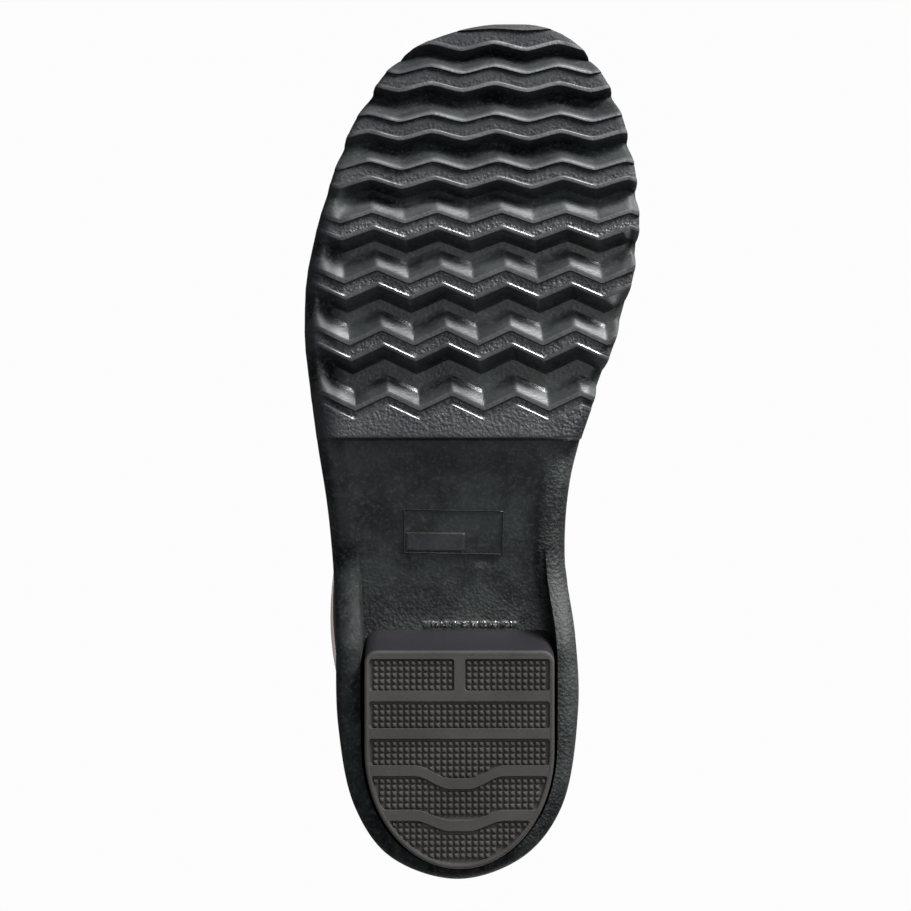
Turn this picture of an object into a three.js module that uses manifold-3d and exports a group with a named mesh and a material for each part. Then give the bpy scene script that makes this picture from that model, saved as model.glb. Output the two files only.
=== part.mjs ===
// Right-foot deck boot of layered rubber, men's size 10.
// Millimetres. The toe points to -Y, the heel to +Y, the inner (medial) side to +X, up is +Z.
// The origin is under the middle of the boot, on the plane that the tread stands on.
import * as THREE from 'three';
import { mergeVertices } from 'three/addons/utils/BufferGeometryUtils.js';
import Module from 'manifold-3d';

const wasm = await Module();
wasm.setup();

// ---------------------------------------------------------------- driving dimensions
const SOLE_LENGTH = 305;
const HEEL_TIP = [-4.8, SOLE_LENGTH / 2];
const TOE_TIP = [10, -SOLE_LENGTH / 2];
const LATERAL_EDGE = [                    // outer edge of the sole, from heel to toe
  [-29, 144.5], [-41.5, 127], [-47.5, 98], [-48.5, 62], [-51, 25], [-55.5, -8],
  [-59.2, -40], [-58.2, -63], [-51, -92], [-41, -118], [-23, -142],
];
const MEDIAL_EDGE = [                     // inner edge of the sole, from toe to heel
  [33, -148.5], [48.5, -131], [57.5, -103], [59.2, -74], [53.5, -47], [43.5, -18],
  [35.5, 9], [33.5, 38], [37, 66], [38, 92], [32, 127], [18.5, 144.5],
];

const TREAD_DEPTH = 6.5;                  // floor of the tread grooves above the ground
const FOREPART_TOP = 12.5;                // top of the outsole under the ball
const HEEL_PITCH = 15;                    // how much higher the heel sits than the ball
const PITCH_START = -18;                  // where the waist begins to climb
const PITCH_END = 74;
const TOE_SPRING = 15;                    // rise of the tread at the very toe
const SPRING_START = -60;

const RIDGE_START = [-151, -136, -118.6, -101.6, -83.6, -63.1, -41.5, -18.4];
const RIDGE_LAND = 7.4;                   // flat width of a tread ridge
const RIDGE_TOE_WALL = 3.2;               // run-out of its sloping wall towards the toe
const RIDGE_HEEL_WALL = 4.6;
const ZIGZAG_PITCH = 22.8;
const ZIGZAG_SWING = 2.6;                 // half height of the zigzag at the last ridge
const APRON_END = -4.4;                   // straight rear edge of the last ridge
const LATERAL_ROUND = 8;                  // width of the rounded outer margin
const MEDIAL_ROUND = 2;

const BREAST_Y = 71;                      // front edge of the heel on the ground
const BREAST_SLOPE = 0.31;                // how far the breast leans, per millimetre of height
const HEEL_AXIS_X = -4.3;
const HEEL_HALF_WIDTH = 33.6;
const HEEL_ARC_Y = 106;                   // where the sides of the heel turn into its round back
const HEEL_ARC_LENGTH = 42;
const HEEL_HEIGHT = 21.4;
const RIM_BOTTOM = 5;                     // lower edge of the outsole's wall around the heel
const HEEL_SOCKET_TOP = 21.8;
const PANEL_DEPTH = 1.2;                  // sunken non-slip panels in the heel
const HEEL_RIB = 3.6;
const HEEL_BORDER = 1.6;

const INSET = 9;                          // from the sole's edge to the surface of the last
const BOARD_INSET = 11.2;                 // from the sole's edge to the edge of the insole board
const GAP = 0.3;                          // left between neighbouring solids
const FEATHER_GAP = 0.8;                  // between the outsole and the lower edge of the upper
const LINING = 1.5;                       // thicknesses of the layers, from the foot outwards
const STIFFENER = 1.1;
const RUBBER_OUT = 4.6;
const OVERLAY = 1.2;
const FOXING_OUT = 8.7;
const FILLER = 3;
const BOARD = 1.6;
const FOOTBED = 4;

// Rings of the last, from the feather line up to the mouth. Each is closed and passes
// through a front and a back point in the middle plane.
const RINGS = [
  { front: [-143.5, 25], back: [143.5, 28], half: 50.5, centre: [-4.8, 10], foot: 1, follow: 1 },
  { front: [-143.6, 44], back: [143.4, 47], half: 50.7, centre: [-4.8, 10], foot: 1, follow: 1 },
  { front: [-139.5, 55], back: [143.0, 62], half: 50.0, centre: [-5, 8], foot: 0.95, follow: 0.6 },
  { front: [-125, 63.5], back: [142.0, 79], half: 47.5, centre: [-5.4, 5], foot: 0.8, follow: 0.3 },
  { front: [-99, 73], back: [139.5, 97], half: 45.0, centre: [-6.6, -1.6], foot: 0.5, follow: 0 },
  { front: [-70, 87], back: [136.5, 114], half: 41.6, centre: [-7.8, -4.8], foot: 0.25, follow: 0 },
  { front: [-43, 106], back: [134.0, 131], half: 39.8, centre: [-7.8, -6.4], foot: 0.1, follow: 0 },
  { front: [-21, 130], back: [132.5, 148], half: 39.2, centre: [-8, -7.4], foot: 0, follow: 0 },
  { front: [-7, 158], back: [132.5, 168], half: 40.0, centre: [-8.2, -8.2], foot: 0, follow: 0 },
  { front: [0, 190], back: [133.5, 195], half: 41.8, centre: [-8.4, -8.4], foot: 0, follow: 0 },
  { front: [2, 226], back: [136.0, 229], half: 43.4, centre: [-8.1, -8.1], foot: 0, follow: 0 },
  { front: [0, 272], back: [139.0, 272], half: 45.2, centre: [-8.1, -8.1], foot: 0, follow: 0 },
  { front: [-2, 322], back: [140.5, 322], half: 45.9, centre: [-8.1, -8.1], foot: 0, follow: 0 },
  { front: [-3, 370], back: [141.0, 370], half: 46.2, centre: [-8.1, -8.1], foot: 0, follow: 0 },
];
const AROUND = 32;                        // facets round the boot
const MOUTH = 12.85;                      // heights on the last are counted in rings
const HEIGHTS = [0, 0.5, 1, 1.4, 1.8, 2.4, 3, 3.5, 4, 5, 6, 7, 7.7, 8, 8.3, 9, 10, 11, 12, MOUTH];
const FOXING_TOP = 1;
const GUARD_TOP = 1.4;
const ANKLE_SEAM = 8;
const ANKLE_BAND = [7.7, 8.3];

const COLOURS = {
  soleBlack: 0x26282a, heelGrey: 0x5f5e5b, foxingBlack: 0x2b2c2e, upperBrown: 0x6b4526,
  overlayBrown: 0x5d3b20, bindingBlack: 0x242424, knit: 0xb9ad97, felt: 0x8d8778,
  board: 0x9b8058, steel: 0x9a9d9f, sponge: 0x3c3c3e, fibre: 0xa68f6c, core: 0x6a6560,
};

// ---------------------------------------------------------------- outline of the sole
const plan = ([x, y]) => new THREE.Vector3(x, y, 0);
const outline = new THREE.CatmullRomCurve3(
  [HEEL_TIP, ...LATERAL_EDGE, TOE_TIP, ...MEDIAL_EDGE].map(plan), true, 'centripetal');
outline.arcLengthDivisions = 800;

// Point of the outline moved inwards by an inset; u runs from the heel over the outer side.
function outlinePoint(u, inset = 0) {
  const turn = ((u % 1) + 1) % 1;
  const point = outline.getPointAt(turn);
  const along = outline.getTangentAt(turn);
  return new THREE.Vector3(point.x - along.y * inset, point.y + along.x * inset, 0);
}

const OUTLINE_STEPS = 360;
const edgeLoops = new Map();
function edgeLoop(inset) {
  if (!edgeLoops.has(inset)) {
    const loop = [];
    for (let i = 0; i < OUTLINE_STEPS; i++) loop.push(outlinePoint(i / OUTLINE_STEPS, inset));
    edgeLoops.set(inset, loop);
  }
  return edgeLoops.get(inset);
}

// Outer and inner edge of the inset outline where it crosses a given y.
function edgesAt(y, inset = 0) {
  const loop = edgeLoop(inset);
  const found = [];
  loop.forEach((a, i) => {
    const b = loop[(i + 1) % loop.length];
    if ((a.y - y) * (b.y - y) <= 0 && a.y !== b.y) {
      found.push(a.x + (b.x - a.x) * (y - a.y) / (b.y - a.y));
    }
  });
  return [Math.min(...found), Math.max(...found)];
}

const TOE_FACET = AROUND / 2;             // facet number nearest to the tip of the toe

// ---------------------------------------------------------------- height of the sole
const smooth = (a, b, value) => THREE.MathUtils.smoothstep(value, a, b);
const springLength = SPRING_START + SOLE_LENGTH / 2;
const toeRise = (y) => TOE_SPRING * (Math.max(0, SPRING_START - y) / springLength) ** 2;
const soleTop = (y) => FOREPART_TOP + toeRise(y) + HEEL_PITCH * smooth(PITCH_START, PITCH_END, y);
const webBottom = (y) =>
  TREAD_DEPTH + toeRise(y) + HEEL_PITCH * smooth(PITCH_START, PITCH_END - 6, y);

// ---------------------------------------------------------------- the last
// Point of one ring of the last at a turn u.
function ringPoint(ring, u) {
  const base = outlinePoint(u, INSET);
  const reach = SOLE_LENGTH / 2 - INSET;
  const eta = THREE.MathUtils.clamp((reach - base.y) / (2 * reach), 0, 1);
  const axis = THREE.MathUtils.lerp(HEEL_TIP[0], TOE_TIP[0], eta);
  const side = base.x - axis;
  const footX = side * ring.half / RINGS[0].half;
  const ovalX = Math.sign(side) * ring.half * Math.sqrt(Math.max(0, 1 - (2 * eta - 1) ** 2));
  const centre = THREE.MathUtils.lerp(ring.centre[0], ring.centre[1], eta);
  const y = THREE.MathUtils.lerp(ring.back[0], ring.front[0], eta);
  const level = THREE.MathUtils.lerp(ring.back[1], ring.front[1], eta);
  const soleLevel = THREE.MathUtils.lerp(soleTop(ring.back[0]), soleTop(ring.front[0]), eta);
  const z = level + ring.follow * (soleTop(y) - soleLevel);
  return new THREE.Vector3(centre + THREE.MathUtils.lerp(ovalX, footX, ring.foot), y, z);
}

// The lowest ring stands just above the outsole, all the way out to the sole's edge.
const risers = new Map();
function riser(u) {
  if (!risers.has(u)) {
    const points = RINGS.map((ring) => ringPoint(ring, u));
    points[0].z = soleTop(outlinePoint(u).y) + FEATHER_GAP;
    risers.set(u, new THREE.CatmullRomCurve3(points, false, 'centripetal'));
  }
  return risers.get(u);
}

// Point on the last at turn u and ring height v, moved outwards by an offset.
function onLast(u, v, offset) {
  const top = RINGS.length - 1;
  const at = (turn, height) => riser(turn).getPoint(THREE.MathUtils.clamp(height, 0, top) / top);
  const point = at(u, v);
  const du = at(u + 0.004, v).sub(at(u - 0.004, v));
  const dv = at(u, v + 0.05).sub(at(u, v - 0.05));
  const beyond = Math.max(0, v - top);
  const normal = du.cross(dv).normalize();
  normal.z *= smooth(0, 1.5, v);
  point.addScaledVector(normal.normalize(), offset);
  point.z += beyond * (RINGS[top].front[1] - RINGS[top - 1].front[1]);
  return point;
}

// ---------------------------------------------------------------- mesh builders
// Closed solid between an outer and an inner grid of points.
function thickSheet(outer, inner, wrap = false) {
  const rows = outer.length;
  const columns = outer[0].length;
  const positions = [...outer, ...inner].flat().flatMap((p) => [p.x, p.y, p.z]);
  const at = (side, i, j) => (side * rows + (i % rows)) * columns + j;
  const index = [];
  const quad = (a, b, c, d) => index.push(a, b, c, a, c, d);
  const last = columns - 1;
  for (let i = 0; i < (wrap ? rows : rows - 1); i++) {
    for (let j = 0; j < last; j++) {
      quad(at(0, i, j), at(0, i + 1, j), at(0, i + 1, j + 1), at(0, i, j + 1));
      quad(at(1, i, j), at(1, i, j + 1), at(1, i + 1, j + 1), at(1, i + 1, j));
    }
    quad(at(0, i + 1, 0), at(0, i, 0), at(1, i, 0), at(1, i + 1, 0));
    quad(at(0, i, last), at(0, i + 1, last), at(1, i + 1, last), at(1, i, last));
  }
  if (!wrap) {
    const end = rows - 1;
    for (let j = 0; j < last; j++) {
      quad(at(0, 0, j), at(0, 0, j + 1), at(1, 0, j + 1), at(1, 0, j));
      quad(at(0, end, j + 1), at(0, end, j), at(1, end, j), at(1, end, j + 1));
    }
  }
  const geometry = new THREE.BufferGeometry();
  geometry.setAttribute('position', new THREE.Float32BufferAttribute(positions, 3));
  geometry.setIndex(index);
  return geometry;
}

// A layer on the last: between two facet numbers, two ring heights and two offsets. All
// layers share one grid of facets and heights, so that neighbours stay the same gap apart.
function layer({ from = 0, to = AROUND, low, high, outside, inside, startGap = 0, endGap = 0 }) {
  const wrap = to - from === AROUND;
  const heights = [low, ...HEIGHTS.filter((v) => v > low + 0.1 && v < high - 0.1), high];
  const outer = [];
  const inner = [];
  for (let i = from; i <= (wrap ? to - 1 : to); i++) {
    const nudge = (i === from ? startGap : 0) - (i === to ? endGap : 0);
    const u = (i + nudge) / AROUND;
    outer.push(heights.map((v) => onLast(u, v, outside)));
    inner.push(heights.map((v) => onLast(u, v, typeof inside === 'function' ? inside(i, v) : inside)));
  }
  return thickSheet(outer, inner, wrap);
}

const SOLE_STATIONS = [-149, -144, -138, -131, -123, -115, -106, -97, -88, -79, -70, -60, -50, -40,
  -30, -18, -9, 0, 9, 18, 27, 36, 45, 54, 65, 74, 86, 100, 112, 124, 134, 142, 148];

// A slab that follows the sole, from toe to heel, between two heights and inside an inset.
function soleSlab({ inset = 0, margin = 0.9, columns = [0, 0.5, 1], top, bottom }) {
  const reach = SOLE_LENGTH / 2 - inset - margin;
  const tops = [];
  const bottoms = [];
  const stations = [-reach, ...SOLE_STATIONS.filter((y) => Math.abs(y) < reach - 2), reach];
  for (const y of stations) {
    const [lateral, medial] = edgesAt(y, inset);
    const place = (c) => THREE.MathUtils.lerp(medial, lateral, c);
    tops.push(columns.map((c) => new THREE.Vector3(place(c), y, top(y))));
    bottoms.push(columns.map((c) => new THREE.Vector3(place(c), y, bottom(y))));
  }
  return thickSheet(tops, bottoms);
}

// A flat strip that follows the top of the sole between two y and two x.
function soleStrip({ from, to, left, right, low, high }) {
  const rows = [from, ...SOLE_STATIONS.filter((y) => y > from + 1 && y < to - 1), to];
  const grid = (lift) => rows.map((y) =>
    [right, left].map((x) => new THREE.Vector3(x, y, soleTop(y) + lift)));
  return thickSheet(grid(high), grid(low));
}

function toSolid(geometry) {
  const bare = geometry.clone();
  bare.deleteAttribute('normal');
  bare.deleteAttribute('uv');
  const merged = mergeVertices(bare, 1e-4);
  return new wasm.Manifold(new wasm.Mesh({
    numProp: 3,
    vertProperties: new Float32Array(merged.attributes.position.array),
    triVerts: new Uint32Array(merged.index.array),
  }));
}

function toGeometry(solid) {
  const mesh = solid.getMesh();
  const geometry = new THREE.BufferGeometry();
  geometry.setAttribute('position', new THREE.Float32BufferAttribute(mesh.vertProperties, 3));
  geometry.setIndex(Array.from(mesh.triVerts));
  return geometry;
}

const boot = new THREE.Group();
function add(name, geometry, color, roughness = 0.6, metalness = 0) {
  geometry.computeVertexNormals();
  const material = new THREE.MeshStandardMaterial({ color, roughness, metalness });
  const mesh = new THREE.Mesh(geometry, material);
  mesh.name = name;
  boot.add(mesh);
  return mesh;
}

// ---------------------------------------------------------------- outsole
// Height of the underside before the tread is added: grooves, waist, wall round the heel.
const heelWall = (y) => (y > BREAST_Y - 5.95 ? RIM_BOTTOM : webBottom(y));

function undersideSlab() {
  const reach = SOLE_LENGTH / 2 - 1;
  const stations = [-reach, ...SOLE_STATIONS, BREAST_Y - 5.9, reach].sort((a, b) => a - b);
  const tops = [];
  const bottoms = [];
  for (const y of stations) {
    const [lateral, medial] = edgesAt(y);
    const room = (medial - lateral) / 3;
    const outer = Math.min(LATERAL_ROUND, room);
    const inner = Math.min(MEDIAL_ROUND, room);
    const xs = [medial, medial - inner, (lateral + medial) / 2, lateral + outer, lateral + outer / 3, lateral];
    const lifts = [1.5, 0, 0, 0, 1.6, 3.4];
    tops.push(xs.map((x) => new THREE.Vector3(x, y, soleTop(y))));
    bottoms.push(xs.map((x, k) => new THREE.Vector3(x, y, heelWall(y) + lifts[k])));
  }
  return thickSheet(tops, bottoms);
}

// One zigzag ridge: four long edges (two on the ground, two at its root) swept across the sole.
function ridge(row) {
  const start = RIDGE_START[row];
  const isLast = row === RIDGE_START.length - 1;
  const swing = ZIGZAG_SWING * (0.45 + 0.55 * smooth(-115, -30, start));
  const crest = -15 + 0.165 * row ** 2;
  const middle = start + RIDGE_LAND / 2;
  const [lateral, medial] = edgesAt(Math.max(middle, 2 - SOLE_LENGTH / 2));
  const leftEnd = lateral + LATERAL_ROUND * 0.55;
  const rightEnd = medial + 8;
  const bends = [leftEnd, rightEnd];
  for (let n = -6; n <= 6; n++) {
    const x = crest + n * ZIGZAG_PITCH / 2;
    if (x > leftEnd + 2 && x < rightEnd - 2) bends.push(x);
  }
  bends.sort((a, b) => a - b);
  const wave = (x) => {
    const phase = Math.abs(((x - crest) / ZIGZAG_PITCH) % 1);
    return swing * (4 * Math.abs(phase - Math.round(phase)) - 1);
  };
  const rearWave = (x) => (isLast ? 0 : wave(x));
  const rear = isLast ? APRON_END : start + RIDGE_LAND;
  const land = (y) => toeRise(y);
  const ground = [];
  const root = [];
  for (const x of bends) {
    const front = start + wave(x);
    const back = rear + rearWave(x);
    const heelWallRun = isLast ? 0.6 : RIDGE_HEEL_WALL;
    const rootZ = (y) => webBottom(y) + 1;
    root.push([front - RIDGE_TOE_WALL, back + heelWallRun]
      .map((y) => new THREE.Vector3(x, y, rootZ(y))));
    ground.push([front, back].map((y) => new THREE.Vector3(x, y, land(y))));
  }
  return thickSheet(root, ground);
}

// Plan of the heel block, grown or shrunk by a margin.
function heelPlan(margin) {
  const half = HEEL_HALF_WIDTH + margin;
  const shape = new THREE.Shape();
  shape.moveTo(HEEL_AXIS_X - half, BREAST_Y - margin);
  shape.lineTo(HEEL_AXIS_X + half, BREAST_Y - margin);
  shape.lineTo(HEEL_AXIS_X + half, HEEL_ARC_Y);
  shape.absellipse(HEEL_AXIS_X, HEEL_ARC_Y, half, HEEL_ARC_LENGTH + margin, 0, Math.PI, false, 0);
  return shape;
}

function prism(shape, low, high, curveSegments = 10) {
  const geometry = new THREE.ExtrudeGeometry(shape, {
    depth: high - low, bevelEnabled: false, curveSegments, steps: 1,
  });
  return geometry.translate(0, 0, low);
}

const socketGap = 0.5;
const heelSocket = new THREE.Shape(heelPlan(socketGap).getPoints(10)
  .map((p) => new THREE.Vector2(p.x, p.y < BREAST_Y ? BREAST_Y - 14 : p.y)));
let outsole = toSolid(undersideSlab());
const treadShape = new THREE.Shape(edgeLoop(0.4).filter((_, i) => i % 5 === 0)
  .map((p) => new THREE.Vector2(p.x, p.y)));
const treadArea = toSolid(prism(treadShape, -1, HEEL_SOCKET_TOP));
for (let row = 0; row < RIDGE_START.length; row++) {
  outsole = outsole.add(toSolid(ridge(row)).intersect(treadArea));
}
outsole = outsole.subtract(toSolid(prism(heelSocket, -2, HEEL_SOCKET_TOP)));
const LABEL = { x: -6.4, y: 29, width: 36, length: 15.5, rise: 0.7, depth: 4 };
const labelPlate = new THREE.BoxGeometry(LABEL.width, LABEL.length, LABEL.depth);
labelPlate.rotateX(Math.atan(HEEL_PITCH / (PITCH_END - PITCH_START)) * 1.2);
labelPlate.translate(LABEL.x, LABEL.y, webBottom(LABEL.y) + LABEL.depth / 2 - LABEL.rise);
outsole = outsole.add(toSolid(labelPlate));
add('outsole', toGeometry(outsole), COLOURS.soleBlack, 0.7);

// ---------------------------------------------------------------- heel
function leanBreast(geometry) {
  const position = geometry.attributes.position;
  for (let i = 0; i < position.count; i++) {
    if (position.getY(i) < BREAST_Y + 1) {
      position.setY(i, position.getY(i) - BREAST_SLOPE * position.getZ(i));
    }
  }
  return geometry;
}

// Sunken panels: two short ones at the front, then four across, the last ones bowed.
const panelLeft = HEEL_AXIS_X - HEEL_HALF_WIDTH + HEEL_BORDER;
const panelRight = HEEL_AXIS_X + HEEL_HALF_WIDTH - HEEL_BORDER;
const panelBows = [                       // front y, rear y, bow of the front and rear edge
  { front: 88.7, rear: 98.4, frontBow: 0, rearBow: 0 },
  { front: 101.9, rear: 111.5, frontBow: 0, rearBow: 4.6 },
  { front: 115.1, rear: 127.3, frontBow: 4.6, rearBow: 3.7 },
  { front: 130.9, rear: 160, frontBow: 3.7, rearBow: 0 },
];
const BOW_HALF = 16;
const bowAt = (x, bow) => bow * smooth(BOW_HALF, 3, Math.abs(x - HEEL_AXIS_X));

function panel({ front, rear, frontBow, rearBow }) {
  const shape = new THREE.Shape();
  const xs = [panelLeft - 5, -20, -14, -9, HEEL_AXIS_X, 0, 5, 11, panelRight + 5];
  shape.setFromPoints([
    ...xs.map((x) => new THREE.Vector2(x, front + bowAt(x, frontBow))),
    ...xs.toReversed().map((x) => new THREE.Vector2(x, rear + bowAt(x, rearBow))),
  ]);
  return toSolid(prism(shape, -1, PANEL_DEPTH));
}

const SHORT_PANEL = { y: 79.4, length: 11.4 };
const shortPanel = (left, right) => {
  const box = new THREE.BoxGeometry(right - left, SHORT_PANEL.length, PANEL_DEPTH + 1);
  return toSolid(box.translate((left + right) / 2, SHORT_PANEL.y, (PANEL_DEPTH - 1) / 2));
};
let panels = shortPanel(panelLeft, HEEL_AXIS_X - HEEL_RIB / 2)
  .add(shortPanel(HEEL_AXIS_X + HEEL_RIB / 2, panelRight));
const inner = toSolid(prism(heelPlan(-HEEL_BORDER), -2, PANEL_DEPTH + 1));
for (const bows of panelBows) panels = panels.add(panel(bows).intersect(inner));

const CORE_MARGIN = -7;
const CORE_BOTTOM = 7;
const pocket = toSolid(prism(heelPlan(CORE_MARGIN), CORE_BOTTOM, HEEL_HEIGHT + 1, 8));
const heelBlock = toSolid(leanBreast(prism(heelPlan(0), 0, HEEL_HEIGHT)))
  .subtract(panels).subtract(pocket);
add('heel_block', toGeometry(heelBlock), COLOURS.heelGrey, 0.75);
add('heel_core', prism(heelPlan(CORE_MARGIN - GAP), CORE_BOTTOM + GAP, HEEL_HEIGHT, 8),
  COLOURS.core, 0.9);

// ---------------------------------------------------------------- foxing and toe guard
const GUARD_HALF = 4;                     // facets each side of the toe
const END_GAP = 0.02;
const HEIGHT_GAP = 0.03;
const foxingOffsets = { outside: FOXING_OUT, inside: RUBBER_OUT + GAP };
add('toe_guard', layer({
  from: TOE_FACET - GUARD_HALF, to: TOE_FACET + GUARD_HALF,
  low: 0, high: GUARD_TOP, ...foxingOffsets,
}), COLOURS.foxingBlack, 0.65);
add('foxing_band', layer({
  from: TOE_FACET + GUARD_HALF, to: TOE_FACET + AROUND - GUARD_HALF,
  low: 0, high: FOXING_TOP, startGap: END_GAP, endGap: END_GAP, ...foxingOffsets,
}), COLOURS.foxingBlack, 0.65);

// ---------------------------------------------------------------- rubber upper
// The stiffeners lie between lining and rubber, so the rubber is thinner over them.
const PUFF = { centre: TOE_FACET, half: 4, low: 0.5, high: 3 };
const COUNTER = { centre: 0, half: 4, low: 0.5, high: 3.5 };
const facetsFrom = (i, centre) => {
  const apart = Math.abs(i - centre) % AROUND;
  return Math.min(apart, AROUND - apart);
};
function rubberInside(i, v) {
  const over = [PUFF, COUNTER].some(({ centre, half, high }) =>
    facetsFrom(i, centre) <= half + 1 && v <= high + 0.5);
  return over ? LINING + STIFFENER + 2 * GAP : LINING + GAP;
}
add('foot_upper', layer({
  low: 0, high: ANKLE_SEAM, outside: RUBBER_OUT, inside: rubberInside,
}), COLOURS.upperBrown, 0.5);
add('leg_shaft', layer({
  low: ANKLE_SEAM + HEIGHT_GAP, high: MOUTH, outside: RUBBER_OUT, inside: LINING + GAP,
}), COLOURS.upperBrown, 0.5);

// ---------------------------------------------------------------- overlays
const overlayInside = RUBBER_OUT + GAP;
const overlayOffsets = { outside: overlayInside + OVERLAY, inside: overlayInside };
add('toe_cap', layer({
  from: TOE_FACET - 5, to: TOE_FACET + 5, low: GUARD_TOP + HEIGHT_GAP, high: 3, ...overlayOffsets,
}), COLOURS.overlayBrown, 0.5);
add('heel_overlay', layer({
  from: -5, to: 5, low: FOXING_TOP + HEIGHT_GAP, high: 4, ...overlayOffsets,
}), COLOURS.overlayBrown, 0.5);
add('ankle_seam_band', layer({ low: ANKLE_BAND[0], high: ANKLE_BAND[1], ...overlayOffsets }),
  COLOURS.overlayBrown, 0.5);
add('back_stay', layer({
  from: -1, to: 1, low: ANKLE_BAND[1] + HEIGHT_GAP, high: MOUTH, ...overlayOffsets,
}), COLOURS.overlayBrown, 0.5);
const lugInside = overlayOffsets.outside + GAP;
add('heel_kick_lug', layer({
  from: -1, to: 1, low: GUARD_TOP, high: 1.8, outside: lugInside + 2.7, inside: lugInside,
}), COLOURS.foxingBlack, 0.65);
add('top_binding', layer({
  low: MOUTH + 0.01, high: MOUTH + 0.21, outside: RUBBER_OUT + 1.4, inside: -0.4,
}), COLOURS.bindingBlack, 0.6);

// ---------------------------------------------------------------- lining and stiffeners
add('lining_foot', layer({ low: 0, high: ANKLE_SEAM, outside: LINING, inside: 0 }),
  COLOURS.knit, 0.95);
add('lining_leg', layer({
  low: ANKLE_SEAM + HEIGHT_GAP, high: MOUTH, outside: LINING, inside: 0,
}), COLOURS.knit, 0.95);
const stiffenerOffsets = { outside: LINING + GAP + STIFFENER, inside: LINING + GAP };
for (const [name, { centre, half, low, high }] of [['toe_puff', PUFF], ['heel_counter', COUNTER]]) {
  add(name, layer({ from: centre - half, to: centre + half, low, high, ...stiffenerOffsets }),
    COLOURS.fibre, 0.9);
}

// ---------------------------------------------------------------- bottom build-up
const SHANK = { from: -30, to: 88, left: -12.5, right: 3.5 };
const RIVETS = {
  front: -22, rear: 80, x: -4.5, radius: 1.9, hole: 2.3, head: 3.4, headLow: 0.35, headHigh: 0.9,
};
const fillerLow = GAP;
const fillerHigh = fillerLow + FILLER;
const boardLow = fillerHigh + GAP;
const boardHigh = boardLow + BOARD;
const footbedLow = boardHigh + GAP;

const follow = (lift) => (y) => soleTop(y) + lift;
const slot = soleStrip({
  from: SHANK.from - 1, to: SHANK.to + 1, left: SHANK.left - 1, right: SHANK.right + 1,
  low: -2, high: fillerHigh + 2,
});
const filler = toSolid(soleSlab({ inset: BOARD_INSET, top: follow(fillerHigh), bottom: follow(fillerLow) }))
  .subtract(toSolid(slot));
add('midsole_filler', toGeometry(filler), COLOURS.sponge, 0.95);

function rivetHole(y) {
  const length = 14;
  const hole = new THREE.CylinderGeometry(RIVETS.hole, RIVETS.hole, length, 10);
  return toSolid(hole.rotateX(Math.PI / 2).translate(RIVETS.x, y, soleTop(y)));
}
const drill = (solid) => solid.subtract(rivetHole(RIVETS.front)).subtract(rivetHole(RIVETS.rear));
const shankLow = 1.3;
const shankSolid = toSolid(soleStrip({ ...SHANK, low: shankLow, high: fillerHigh - 0.4 }));
add('steel_shank', toGeometry(drill(shankSolid)), COLOURS.steel, 0.35, 0.9);
const boardSolid = toSolid(soleSlab({
  inset: BOARD_INSET, top: follow(boardHigh), bottom: follow(boardLow),
}));
add('insole_board', toGeometry(drill(boardSolid)), COLOURS.board, 0.95);

for (const [name, y] of [['shank_rivet_front', RIVETS.front], ['shank_rivet_rear', RIVETS.rear]]) {
  const { head, radius, headLow, headHigh } = RIVETS;
  const tip = boardHigh - 0.05;
  const profile = [[0, headLow], [head, headLow], [head, headHigh], [radius, headHigh], [radius, tip], [0, tip]];
  const rivet = new THREE.LatheGeometry(profile.map(([r, z]) => new THREE.Vector2(r, z)), 10);
  const slope = (soleTop(y + 1) - soleTop(y - 1)) / 2;
  const mesh = add(name, rivet.rotateX(Math.PI / 2), COLOURS.steel, 0.35, 0.9);
  mesh.position.set(RIVETS.x, y, soleTop(y));
  mesh.rotation.x = Math.atan(slope);
}

add('footbed', soleSlab({
  inset: BOARD_INSET + GAP, top: follow(footbedLow + FOOTBED), bottom: follow(footbedLow),
}), COLOURS.felt, 0.95);

export default boot;
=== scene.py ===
import math
import bmesh
import bpy
import numpy as np
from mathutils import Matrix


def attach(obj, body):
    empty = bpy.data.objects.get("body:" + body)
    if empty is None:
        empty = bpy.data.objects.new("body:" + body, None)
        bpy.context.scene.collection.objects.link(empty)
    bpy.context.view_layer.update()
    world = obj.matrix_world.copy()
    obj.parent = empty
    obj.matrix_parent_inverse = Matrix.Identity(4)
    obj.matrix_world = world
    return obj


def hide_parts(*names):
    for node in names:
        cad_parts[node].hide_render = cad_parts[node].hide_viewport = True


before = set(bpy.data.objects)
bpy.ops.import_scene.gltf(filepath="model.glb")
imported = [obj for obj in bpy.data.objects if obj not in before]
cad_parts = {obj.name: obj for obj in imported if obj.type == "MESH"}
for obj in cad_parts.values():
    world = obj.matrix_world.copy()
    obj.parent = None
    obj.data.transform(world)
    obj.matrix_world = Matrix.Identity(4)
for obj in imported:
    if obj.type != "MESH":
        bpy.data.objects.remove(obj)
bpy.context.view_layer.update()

# ------------------------------------------------------------------ outsole
# One-piece outsole, compression moulded in black nitrile rubber: eight zigzag ridges under the
# ball, a plain waist and a wall that cups the heel. It is vulcanised to the upper.
MM = 0.001
SOLE_LENGTH = 305.0
HEEL_TIP = (-4.8, SOLE_LENGTH / 2)
TOE_TIP = (10.0, -SOLE_LENGTH / 2)
LATERAL_EDGE = [
    (-29, 144.5), (-41.5, 127), (-47.5, 98), (-48.5, 62), (-51, 25), (-55.5, -8),
    (-59.2, -40), (-58.2, -63), (-51, -92), (-41, -118), (-23, -142),
]
MEDIAL_EDGE = [
    (33, -148.5), (48.5, -131), (57.5, -103), (59.2, -74), (53.5, -47), (43.5, -18),
    (35.5, 9), (33.5, 38), (37, 66), (38, 92), (32, 127), (18.5, 144.5),
]
FOREPART_TOP = 12.5
TREAD_DEPTH = 6.5
HEEL_PITCH = 15.0
PITCH_START = -18.0
PITCH_END = 74.0
TOE_SPRING = 15.0
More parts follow.
